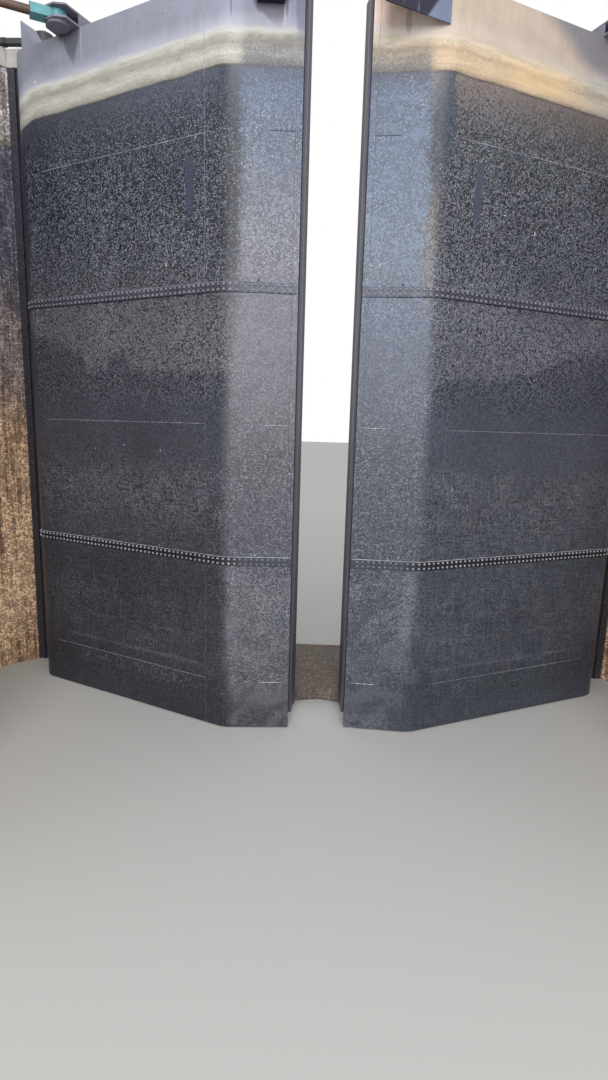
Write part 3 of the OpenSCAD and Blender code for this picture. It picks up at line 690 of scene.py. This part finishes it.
    salted = product(salted, coarse["Salt"], fade(cloud, 0.40, 0.55), 0.6)
    wet = tint(salted, wet, (150, 150, 158))
    wet = shadeBy(wet, broad, 0.3, 0.7, 0.88, 1.10)
    drift = fade(noise(shifted, 3.3, 2.0, 0.5), 0.38, 0.62)
    wet = stretch(wet, mixTone(drift, (0.985, 1.0, 1.015), (1.015, 1.0, 0.985)))
    wet = tint(product(strip, 0.6), wet, (72, 76, 96))

    # Tide mark: layers that follow a slightly wavy level, crusted and finely lined
    wobble = noise(stretch(shifted, (1.1, 1.1, 0.4)), 1.0, 4.0, 0.6)
    bow = fade(along, -0.2, 0.55, -0.16, 0.0)
    level = calc("ADD", height, around(wobble, 0.09))
    level = calc("SUBTRACT", level, bow)
    crust = calc("DIVIDE", calc("SUBTRACT", level, skinLook["wetLine"]), skinLook["bandHeight"])
    layered = calc("ADD", crust, product(waver, 0.4))
    layers = ramp(layered, [(at, tone(*colour)) for at, *colour in look["band"]])
    fineLines = noise(stretch(shifted, (1.4, 1.4, 14.0)), 1.0, 5.0, 0.7)
    layers = shadeBy(layers, fineLines, 0.34, 0.62, 0.86, 1.06)
    thread = noise(stretch(shifted, (2.2, 2.2, 5.0)), 1.0, 5.0, 0.65)
    thread = product(window(thread, 0.485, 0.5, 0.502, 0.517), window(crust, 0.3, 0.45, 0.75, 0.9), 0.4)
    layers = tint(thread, layers, (128, 120, 108))
    gritty = product(fade(crust, 0.75, 0.35), fade(nose, 0.0, 1.0, 0.10, 0.26))
    layers = grained(layers, specks, gritty)
    dots = product(fade(specks["Fine"], 0.52, 0.60), fade(crust, 0.16, 0.0), 0.75)
    layers = tint(dots, layers, (92, 88, 78))
    ashen = product(fade(along, 2.5, 1.6), look["bandEnd"])
    layers = stretch(layers, mixTone(ashen, grey(1.0), (0.74, 0.86, 1.02)))
    # Painted sunlight: a warm patch on the right leaf's tide mark
    sunPatch = product(window(along, 2.2, 2.7, 3.4, 4.0), window(crust, 0.02, 0.25, 0.6, 0.95), look["sunPatch"])
    layers = tint(sunPatch, layers, (244, 210, 150))

    # Dry paint above, whitish just over the tide mark, with soft blotches and a few stains; the dark marks
    # under the brackets are partly painted shade
    drips = drawRuns(shifted, 0.16, 0.9, 0.42)
    dry = tint(fade(crust, 1.0, 1.45, 1.0, 0.0), tone(*look["top"]), look["topLow"])
    dry = shadeBy(dry, cloud, 0.36, 0.64, 0.95, 1.05)
    dry = shadeBy(dry, drips["Soft"], 0.3, 0.7, 1.04, 0.95)
    dry = shadeBy(dry, along, 0.6, 4.2, 0.92, 1.08)
    # Painted shadow of the drive bracket on the right leaf: near the quoin end, below a slanting edge, the
    # dry paint turns grey-blue
    if look["sunPatch"]:
        slant = calc("ADD", along, product(calc("SUBTRACT", 12.37, height), 1.6))
        shadeTone = tint(fade(height, 11.7, 11.95), tone(160, 155, 160), (122, 120, 130))
        bracketShadow = product(fade(slant, 2.5, 3.3, 1.0, 0.0), fade(height, 11.55, 11.85), 0.9)
        dry = mixTone(bracketShadow, dry, shadeTone)
    colour = mixTone(fade(crust, 0.88, 1.12), layers, dry)
    # Painted shade on the nose's tide mark and dry paint; on the right leaf it turns to painted light under
    # the nose bracket, against the shade that the bracket casts
    noseShading = ramp(calc("DIVIDE", crust, 2.0), [(at / 2.0, amount) for at, *amount in look["noseBandShading"]])
    colour = stretch(colour, mixTone(nose, grey(1.0), noseShading))
    frayed = calc("SUBTRACT", drips["Soft"], 0.5)
    # Dark marks under the brackets: drip stains together with painted shade of the brackets
    for shape in wedges[side]:
        colour = tint(product(wedgeMask(along, height, shape, frayed), shape[6]), colour, shape[5])
    for middle, foot, head, half, cover in washes[side]:
        streak = window(along, middle - half, middle - half / 2, middle + half / 2, middle + half)
        streak = product(streak, window(height, foot, foot + 0.2, head, head + 0.05), cover)
        colour = tint(streak, colour, (206, 208, 214))

    wetMask = fade(level, skinLook["wetLine"] - 0.015, skinLook["wetLine"] + 0.015, 1.0, 0.0)
    rimLow, rimHigh = skinLook["wetLine"] - 0.04, skinLook["wetLine"] + 0.03
    rim = window(level, rimLow, rimLow + 0.03, rimHigh - 0.03, rimHigh)
    rim = product(rim, fade(fineLines, 0.4, 0.6, 0.2, 0.8))
    colour = mixTone(wetMask, colour, wet)
    colour = tint(rim, colour, (58, 58, 54))
    for spot in spots[side]:
        colour = tint(spotMask(place, spot), colour, spot[4])

    film = calc("ADD", 0.40, product(specks["Grain"], strength, 0.10))
    shader.inputs["Specular IOR Level"].default_value = 0.6
    relief = product(specks["Grain"], strength, wetMask)
    return finishPaint(material, shader, colour, mixValue(wetMask, 0.62, film), relief, 0.0008)


# Steel on the skin that takes its tone from where it sits: below or above the middle of the leaf, on the
# flat part or on the nose
def makeStrapPaint(name, lowMain, highMain, lowNose, highNose, dirt):
    material, shader, coords = newMaterial(name)
    axes = splitAxes(coords)
    fromMiddle = calc("ABSOLUTE", axes["X"])
    onNose = fade(fromMiddle, 1.42, 1.66, 1.0, 0.0)
    high = fade(axes["Z"], 5.0, 7.0)
    dry = fade(axes["Z"], 11.12, 11.18)
    specks = speckle(coords, 0.023)
    broad = noise(coords, 1.4, 4.0, 0.6)
    flat = mixTone(high, tone(*lowMain), tone(*highMain))
    colour = mixTone(onNose, flat, mixTone(high, tone(*lowNose), tone(*highNose)))
    colour = tint(dry, colour, (158, 159, 172))
    colour = grained(colour, specks, dirt)
    colour = shadeBy(colour, broad, 0.3, 0.7, 0.85, 1.15)
    return finishPaint(material, shader, colour, 0.48, specks["Grain"], 0.0006)


# Masonry: board-marked concrete, stained in zones by the water; tones of each zone from dark to light
wallLook = {
    "levels": (5.9, 8.3, 11.15), "liftHeight": 1.5, "quoinRadius": 0.78,
    "rusty": ((132, 99, 74), (240, 204, 168)), "middle": ((98, 88, 88), (170, 154, 154)),
    "damp": ((57, 60, 73), (118, 119, 135)), "dry": ((104, 92, 94), (208, 200, 200)),
}


def makeConcrete():
    material, shader, coords = newMaterial("wallConcrete")
    axes = splitAxes(coords)
    height = axes["Z"]
    broad = noise(coords, 0.8, 4.0, 0.6)
    patchy = noise(coords, 4.5, 3.0, 0.6)
    runs = drawRuns(coords, 0.05, 1.4, 0.55)["Soft"]
    narrow = drawRuns(coords, 0.03, 0.8, 0.5)
    specks = speckle(coords, 0.034)
    level = calc("ADD", height, around(broad, 1.2))
    amount = calc("ADD", product(runs, 0.4), calc("ADD", product(broad, 0.3), product(patchy, 0.3)))
    amount = fade(amount, 0.38, 0.60)
    zones = []
    for name in ("rusty", "middle", "damp", "dry"):
        dark, light = wallLook[name]
        zones.append(tint(amount, tone(*dark), light))
    colour = zones[0]
    for zone, edge in zip(zones[1:3], wallLook["levels"]):
        colour = mixTone(fade(level, edge - 0.9, edge + 0.9), colour, zone)
    dryEdge = wallLook["levels"][2]
    weedLine = window(height, dryEdge - 0.05, dryEdge + 0.02, dryEdge + 0.06, dryEdge + 0.24)
    colour = mixTone(fade(height, dryEdge - 0.03, dryEdge + 0.03), colour, zones[3])
    colour = tint(product(weedLine, 0.6), colour, (112, 112, 96))
    colour = grained(colour, specks, fade(patchy, 0.35, 0.6, 0.45, 0.75))
    colour = tint(product(specks["Fleck"], 0.6), colour, (226, 210, 196))
    colour = tint(product(narrow["Mask"], 0.25), colour, (72, 60, 56))
    lift = calc("FRACT", calc("DIVIDE", height, wallLook["liftHeight"]))
    joint = fade(lift, 0.0, 0.012, 1.0, 0.0)
    colour = tint(product(joint, 0.25), colour, (60, 54, 48))

    # The hollow quoin is painted near black, and what lies near the sill stays dark and wet
    aside = calc("SUBTRACT", calc("ABSOLUTE", axes["X"]), pivotX)
    reach = put("CombineXYZ", {"X": aside, "Y": axes["Y"]}).outputs[0]
    inQuoin = fade(lengthOf(reach), wallLook["quoinRadius"], wallLook["quoinRadius"] + 0.02, 1.0, 0.0)
    colour = tint(product(inQuoin, 0.97), colour, (44, 43, 54))
    onSill = fade(calc("ABSOLUTE", axes["X"]), 5.6, 5.7, 0.85, 0.0)
    colour = mixTone(onSill, colour, shadeBy(tone(92, 90, 88), specks["Grain"], 0.0, 2.0, 0.75, 1.3))
    relief = calc("SUBTRACT", calc("ADD", specks["Fine"], product(broad, 2.0)), joint)
    return finishPaint(material, shader, colour, fade(broad, 0.3, 0.7, 0.7, 0.95), relief, 0.010)


# Light weathered stone of the copings and painted blocks
def makeStone(name, clean, dirty, cover):
    material, shader, coords = newMaterial(name)
    broad = noise(coords, 1.3, 5.0, 0.6)
    specks = speckle(coords, 0.03)
    runs = drawRuns(coords, 0.06, 0.5, cover)
    colour = mixTone(fade(broad, 0.35, 0.65), tone(*dirty), tone(*clean))
    colour = tint(product(runs["Mask"], 0.5), colour, (110, 100, 88))
    colour = shadeBy(colour, specks["Fine"], 0.3, 0.7, 0.9, 1.06)
    return finishPaint(material, shader, colour, 0.85, calc("ADD", specks["Fine"], broad), 0.008)


# Painted steel with rust, wear and, below a level, the dark film left by the water
def makeSteel(name, paint, rustAmount, gloss=0.5, wetLevel=None, metal=0.0, film=(60, 60, 66)):
    material, shader, coords = newMaterial(name)
    broad = noise(coords, 1.1, 4.0, 0.6)
    fine = noise(coords, 60.0, 2.0, 0.6)
    runs = drawRuns(coords, 0.035, 0.6, 0.45)
    bloom = useGroup(rust, {"Vector": coords, "Amount": rustAmount, "Scale": 2.2})
    colour = shadeBy(tone(*paint), broad, 0.3, 0.7, 0.86, 1.1)
    colour = tint(product(runs["Mask"], 0.35), colour, (60, 56, 56))
    colour = mixTone(bloom["Mask"], colour, bloom["Color"])
    if wetLevel is not None:
        height = splitAxes(coords)["Z"]
        level = calc("ADD", height, around(broad, 0.25))
        wet = fade(level, wetLevel - 0.05, wetLevel + 0.05, 1.0, 0.0)
        specks = speckle(coords, 0.035)
        dark = shadeBy(tone(*film), specks["Grain"], 0.0, 2.2, 0.6, 1.5)
        colour = mixTone(product(wet, 0.9), colour, dark)
    shader.inputs["Metallic"].default_value = metal
    relief = calc("ADD", product(fine, 0.4), bloom["Mask"])
    return finishPaint(material, shader, colour, mixValue(bloom["Mask"], gloss, 0.85), relief, 0.0015)


# Steel liner of the hollow quoin: dark, with pale growth in specks
def makeLinerPaint():
    material, shader, coords = newMaterial("linerSteel")
    height = splitAxes(coords)["Z"]
    broad = noise(coords, 2.0, 4.0, 0.6)
    specks = speckle(coords, 0.032)
    colour = shadeBy(tone(46, 45, 56), specks["Grain"], 0.0, 2.2, 0.6, 1.6)
    cover = product(specks["Salt"], fade(broad, 0.35, 0.6, 0.2, 0.8))
    colour = mixTone(cover, colour, mixTone(fade(height, 2.0, 6.0), tone(112, 104, 84), tone(132, 134, 148)))
    return finishPaint(material, shader, colour, 0.55, specks["Grain"], 0.001)


# Drive rod: a teal eye block, and beyond this distance from the pin a brown rod
rodLook = {"block": (100, 166, 176), "rod": (104, 78, 70), "blockReach": 0.455}


def makeRodPaint(side):
    material, shader, coords = newMaterial("rodPaint_" + side)
    pin = hinges["rod_" + side + "_pin"]["pos_m"]
    reach = lengthOf(stretch(less(coords, (pin[0], pin[1], 0.0)), (1.0, 1.0, 0.0)))
    broad = noise(coords, 3.0, 4.0, 0.6)
    edge = rodLook["blockReach"]
    colour = tint(fade(reach, edge - 0.002, edge + 0.002), tone(*rodLook["block"]), rodLook["rod"])
    colour = shadeBy(colour, broad, 0.3, 0.7, 0.82, 1.12)
    return finishPaint(material, shader, colour, 0.4, broad, 0.001)


# Top bracket of the nose: dark in the shade, grey-blue where the light reaches the fascia
noseLook = {
    "dark": (28, 25, 50), "light": (122, 134, 160), "litFrom": (1.28, 11.73), "slope": 0.64, "soft": 0.03,
}


def makeNosePaint():
    material, shader, coords = newMaterial("nosePaint")
    axes = splitAxes(coords)
    litX, litZ = noseLook["litFrom"]
    border = calc("ADD", litX, product(calc("SUBTRACT", axes["Z"], litZ), noseLook["slope"]))
    fromBorder = calc("SUBTRACT", axes["X"], border)
    lit = fade(fromBorder, -noseLook["soft"], noseLook["soft"])
    broad = noise(coords, 2.2, 4.0, 0.6)
    runs = drawRuns(coords, 0.04, 0.5, 0.4)
    colour = tint(lit, tone(*noseLook["dark"]), noseLook["light"])
    colour = shadeBy(colour, broad, 0.3, 0.7, 0.88, 1.12)
    colour = tint(product(runs["Mask"], 0.3), colour, (150, 156, 176))
    return finishPaint(material, shader, colour, 0.5, broad, 0.002)


# Small steel on the skin: tones low and high on the flat part, low and high on the nose, and dirt; the nose
# tones follow the nose's paint, painted sheen included
strapTones = {
    "strap": ("strapSteel", (34, 35, 44), (74, 75, 86), (60, 62, 74), (92, 96, 112), 0.5),
    # Bolt heads: paler than the strap, their own paint with a painted highlight
    "boltHead": ("boltSteel", (166, 166, 176), (142, 143, 155), (118, 120, 132), (120, 124, 138), 0.3),
    # Weld beads and studs: paler than the plate, their own colour with a painted highlight of the sky on
    # their rounded tops
    "weld": ("weldBead", (126, 126, 136), (146, 146, 158), (180, 182, 192), (84, 88, 104), 0.5),
    "seam": ("seamBead", (76, 77, 88), (112, 113, 126), (96, 98, 110), (110, 114, 130), 0.5),
    "lip": ("strapLip", (166, 168, 178), (140, 141, 154), (176, 180, 192), (100, 104, 120), 0.4),
    # Near-black bead under each strap: painted shadow of the strap's lower edge
    "strapShadow": ("strapShadowDark", (24, 24, 32), (26, 27, 36), (40, 42, 52), (62, 66, 82), 0.3),
    "edge": ("edgeSteel", (60, 60, 72), (60, 62, 76), (66, 67, 78), (84, 88, 106), 0.4),
}
paints = {
    "skin_left": makeSkinPaint("left"),
    "skin_right": makeSkinPaint("right"),
    "concrete": makeConcrete(),
    "coping": makeStone("copingStone", (196, 192, 188), (160, 154, 146), 0.4),
    "block": makeStone("blockPaint", (232, 232, 232), (206, 204, 200), 0.3),
    "frame": makeSteel("frameSteel", (112, 115, 120), 0.35, 0.5, wetLevel=1.4),
    "heel": makeSteel("heelSteel", (158, 161, 176), 0.06, 0.5, wetLevel=11.1, film=(40, 41, 51)),
    "mitre": makeSteel("mitreSteel", (62, 62, 72), 0.2, 0.5),
    "bar": makeSteel("contactBar", (84, 82, 96), 0.12, 0.4, metal=0.3),
    "bracket": makeSteel("bracketPaint", (128, 128, 142), 0.15, 0.5),
    "nose": makeNosePaint(),
    "dark": makeSteel("darkSteel", (58, 58, 64), 0.2, 0.5),
    "liner": makeLinerPaint(),
    "rod_left": makeRodPaint("left"),
    "rod_right": makeRodPaint("right"),
    "cylinder": makeSteel("cylinderPaint", (84, 86, 90), 0.15, 0.45),
    "bed": makeSteel("bedPaint", (140, 136, 128), 0.25, 0.6),
}
for name, values in strapTones.items():
    paints[name] = makeStrapPaint(*values)
print("materials made:", len(paints))

nodePaint = {"sill": "concrete"}
for side in sides:
    for part in ("skin_bottom", "skin_middle", "skin_top", "nose_bottom", "nose_middle", "nose_top"):
        nodePaint[f"{part}_{side}"] = "skin_" + side
    for part in ("girder_webs", "girder_flanges", "diaphragms", "skin_ribs", "braces"):
        nodePaint[f"{part}_{side}"] = "frame"
    for part, paint in (
        ("wall", "concrete"), ("coping", "coping"), ("pintle", "dark"), ("anchor", "dark"),
        ("anchor_block", "block"), ("cylinder_bed", "bed"), ("quoin_liner", "liner"),
        ("splice_straps", "strap"), ("mitre_post", "mitre"), ("mitre_bar", "bar"),
        ("drive_bracket", "bracket"), ("nose_bracket", "nose"), ("drive_rod", "rod_" + side),
        ("drive_cylinder", "cylinder"), ("heel_post", "heel"),
    ):
        nodePaint[f"{part}_{side}"] = paint
for name, paint in nodePaint.items():
    nodes[name].data.materials.clear()
    nodes[name].data.materials.append(paints[paint])
print("frame painted:", len(nodePaint), "parts")


# Turns a finished bmesh into a piece that rides on a leaf; a second paint goes on faces of index 1
def finishPiece(name, made, side, paint, smooth=False, second=None):
    body = "leaf_" + side
    name += "_" + side
    bmesh.ops.recalc_face_normals(made, faces=made.faces)
    mesh = bpy.data.meshes.new(name)
    made.to_mesh(mesh)
    made.free()
    mesh.materials.append(paints[paint])
    if second:
        mesh.materials.append(paints[second])
    mesh.shade_smooth() if smooth else mesh.shade_flat()
    piece = addObject(name, mesh)
    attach(piece, body)


# Copies of one small shape, each at its own place
def stampAll(template, places):
    shape = bpy.data.meshes.new("stamp")
    template.to_mesh(shape)
    template.free()
    made = bmesh.new()
    for place in places:
        before = len(made.verts)
        made.from_mesh(shape)
        made.verts.ensure_lookup_table()
        bmesh.ops.transform(made, matrix=place, verts=made.verts[before:])
    bpy.data.meshes.remove(shape)
    return made


# Short prism that stands on a level, and the edges round its top
def addPrism(made, segments, radius, low, height):
    verts = bmesh.ops.create_cone(
        made, cap_ends=True, segments=segments, radius1=radius, radius2=radius, depth=height,
        matrix=Matrix.Translation((0, 0, low + height / 2)),
    )["verts"]
    top = [v for v in verts if v.co.z > low + height * 0.9]
    return [e for e in made.edges if all(v in top for v in e.verts)]


# Hexagon bolt head on a washer, standing on z = 0
boltLook = {"across": 0.037, "head": 0.017, "washer": 0.026, "washerHeight": 0.004, "chamfer": 0.003}


def makeBoltHead():
    made = bmesh.new()
    washer = boltLook["washerHeight"]
    addPrism(made, 12, boltLook["washer"], 0.0, washer)
    for face in made.faces:
        face.material_index = 1
    rim = addPrism(made, 6, boltLook["across"] / math.sqrt(3), washer, boltLook["head"])
    bmesh.ops.bevel(
        made, geom=rim, offset=boltLook["chamfer"], segments=1, profile=0.5, affect="EDGES", material=-1
    )
    return made


# Two rows of bolts along each splice strap, from the quoin end round the bend to the mitre edge
strapBolts = {"pitch": 0.100, "rowGap": 0.085, "first": -0.10, "last": 0.05}


def addStrapBolts(side):
    places = []
    count = int((pathLength - strapBolts["first"] - strapBolts["last"]) / strapBolts["pitch"])
    for splice in spliceLevels:
        for row in (-0.5, 0.5):
            for step in range(count + 1):
                along = strapBolts["first"] + step * strapBolts["pitch"]
                height = splice + row * strapBolts["rowGap"]
                turn = Matrix.Rotation(dice.uniform(0, math.pi / 3), 4, "Z")
                places.append(skinFrame(side, along, height, leafPlan["strapThick"]) @ turn)
    made = stampAll(makeBoltHead(), places)
    finishPiece("strap_bolts", made, side, "boltHead", second="strap")
    return len(places)


print("strap bolts:", sum(addStrapBolts(side) for side in sides))


# Round beads along rows of points, half sunk in the plate, that swell a little on the way
def layBeads(name, rows, radius, swell=0.2):
    curve = bpy.data.curves.new(name, "CURVE")
    curve.dimensions = "3D"
    curve.bevel_depth = radius
    curve.bevel_resolution = 1
    curve.use_fill_caps = True
    for row in rows:
        spline = curve.splines.new("POLY")
        spline.points.add(len(row) - 1)
        for point, place in zip(spline.points, row):
            point.co = (*place, 1.0)
            point.radius = 1 + dice.uniform(-swell, swell)
    holder = bpy.data.objects.new(name, curve)
    mesh = bpy.data.meshes.new_from_object(holder)
    bpy.data.objects.remove(holder)
    bpy.data.curves.remove(curve)
    made = bmesh.new()
    made.from_mesh(mesh)
    bpy.data.meshes.remove(mesh)
    return made


def spread(low, high, step):
    count = max(1, int((high - low) / step))
    return [low + (high - low) * k / count for k in range(count + 1)]


# Rows of points on the plate, level or upright
def levelRow(side, height, low, high, out, step):
    return [skinFrame(side, u, height, out).translation for u in spread(low, high, step)]


def uprightRow(side, along, low, high, out, step):
    return [skinFrame(side, along, z, out).translation for z in spread(low, high, step)]


# Seams of the skin: one upright beside the bend, three along each leaf, and short ones by the mitre edge
weldLook = {
    "step": 0.04, "radius": 0.007, "levels": (0.92, 5.645, 10.24), "starts": (0.5, 0.42, 0.62),
    "past": (0.0, 0.0, 0.12), "shortFrom": 0.52, "gapShare": 0.22, "pieceLength": (0.25, 0.9),
    "upright": {"left": "seam", "right": "skin_right"},
}


def addWelds(side):
    rows = []
    for level, start, past in zip(weldLook["levels"], weldLook["starts"], weldLook["past"]):
        rows.append(levelRow(side, level, start, seamU + past, -0.001, weldLook["step"]))
        shortFrom = pathLength - weldLook["shortFrom"]
        rows.append(levelRow(side, level, shortFrom, pathLength - 0.11, 0.002, weldLook["step"]))
    made = layBeads("seams", rows, weldLook["radius"])
    finishPiece("skin_seams", made, side, "weld", smooth=True)
    rows = []
    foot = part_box("nose_bottom_" + side)[0].z
    half = leafPlan["strapHeight"] / 2
    limits = [foot + 0.01 - half, *spliceLevels, leafTop - 0.01 + half]
    for low, high in zip(limits, limits[1:]):
        at = low + half
        while at < high - half - weldLook["pieceLength"][1]:
            end = at + dice.uniform(*weldLook["pieceLength"])
            rows.append(uprightRow(side, seamU, at, end, -0.003, weldLook["step"]))
            at = end + weldLook["gapShare"] * dice.random()
        rows.append(uprightRow(side, seamU, at, high - half, -0.003, weldLook["step"]))
    made = layBeads("seams", rows, weldLook["radius"])
    finishPiece("upright_seam", made, side, weldLook["upright"][side], smooth=True)


for side in sides:
    addWelds(side)
print("skin seams laid")

# Pale lips along the top of each strap and a near-black bead of painted shadow under it; an edging strip
# beside the mitre edge
edgeLook = {
    "radius": 0.008, "start": -0.06, "stripWidth": 0.10, "stripThick": 0.008, "stripTop": 12.2,
    "lineRadius": 0.005,
}


def addStrapEdges(side):
    half = leafPlan["strapHeight"] / 2
    for name, paint, height in (("strap_lips", "lip", half), ("strap_shadows", "strapShadow", -half)):
        rows = []
        for splice in spliceLevels:
            rows.append(levelRow(side, splice + height, edgeLook["start"], pathLength - 0.02, 0.008, 0.05))
        made = layBeads("edges", rows, edgeLook["radius"], swell=0.12)
        finishPiece(name, made, side, paint, smooth=True)

    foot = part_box("nose_bottom_" + side)[0].z
    middle = pathLength - edgeLook["stripWidth"] / 2
    made = bmesh.new()
    lows = [foot, *(splice + half for splice in spliceLevels)]
    highs = [*(splice - half for splice in spliceLevels), edgeLook["stripTop"]]
    for low, high in zip(lows, highs):
        size = Matrix.Diagonal((edgeLook["stripWidth"], high - low - 0.02, edgeLook["stripThick"], 1))
        place = skinFrame(side, middle, (low + high) / 2, edgeLook["stripThick"] / 2)
        bmesh.ops.create_cube(made, size=1.0, matrix=place @ size)
    finishPiece("edge_strip", made, side, "skin_" + side)
    inner = pathLength - edgeLook["stripWidth"]
    rows = [uprightRow(side, inner, foot + 0.01, edgeLook["stripTop"], 0.002, 0.2)]
    made = layBeads("line", rows, edgeLook["lineRadius"], swell=0.0)
    finishPiece("edge_line", made, side, "edge", smooth=True)


for side in sides:
    addStrapEdges(side)
print("strap edges laid")

# Short round studs that stand out just above the straps
studLook = {"radius": 0.016, "length": 0.045, "above": 0.125, "places": (1.66, 3.36, 5.36)}


def addStuds(side):
    template = bmesh.new()
    rim = addPrism(template, 12, studLook["radius"], 0.0, studLook["length"])
    bmesh.ops.bevel(template, geom=rim, offset=0.004, segments=2, profile=0.5, affect="EDGES", material=-1)
    heights = [splice + studLook["above"] for splice in spliceLevels]
    places = [skinFrame(side, along, height) for height in heights for along in studLook["places"]]
    finishPiece("strap_studs", stampAll(template, places), side, "weld", smooth=True)


for side in sides:
    addStuds(side)
print("studs placed")

# Plain pale floor and soft studio light; the world shows white to the lens and in reflections
stageLook = {"floorTone": (214, 214, 212), "floorSize": 240.0, "ambient": 0.62, "keyRadiance": 8.0}
keyLook = {"place": (0.0, -40.0, 21.0), "target": (0.0, -2.0, 7.0), "size": (18.0, 24.0)}


def makeStage():
    made = bmesh.new()
    bmesh.ops.create_grid(made, x_segments=1, y_segments=1, size=stageLook["floorSize"])
    bmesh.ops.translate(made, vec=(0, 0, -0.002), verts=made.verts)
    mesh = bpy.data.meshes.new("stageFloor")
    made.to_mesh(mesh)
    made.free()
    floor = addObject("stageFloor", mesh)
    material, shader = newMaterial("paleFloor")[:2]
    plug(shader.inputs["Base Color"], tone(*stageLook["floorTone"]))
    shader.inputs["Roughness"].default_value = 0.9
    mesh.materials.append(material)

    world = bpy.data.worlds.new("softWorld")
    bpy.context.scene.world = world
    world.use_nodes = True
    openTree(world.node_tree)
    rays = put("LightPath").outputs
    mirrored = calc("MAXIMUM", rays["Is Glossy Ray"], rays["Is Transmission Ray"])
    seen = calc("MAXIMUM", rays["Is Camera Ray"], mirrored)
    strength = mixValue(seen, stageLook["ambient"], 1.0)
    background = put("Background", {"Color": (1, 1, 1, 1), "Strength": strength})
    plug(put("OutputWorld").inputs["Surface"], background.outputs[0])

    lamp = bpy.data.lights.new("keyLamp", "AREA")
    lamp.shape = "RECTANGLE"
    lamp.size, lamp.size_y = keyLook["size"]
    lamp.energy = stageLook["keyRadiance"] * math.pi * lamp.size * lamp.size_y
    key = addObject("keyLamp", lamp)
    aim = (Vector(keyLook["target"]) - Vector(keyLook["place"])).to_track_quat("-Z", "Y")
    key.matrix_world = Matrix.Translation(keyLook["place"]) @ aim.to_matrix().to_4x4()
    key.visible_camera = False


makeStage()
bpy.context.scene.view_settings.view_transform = "Standard"
print("stage and light set")
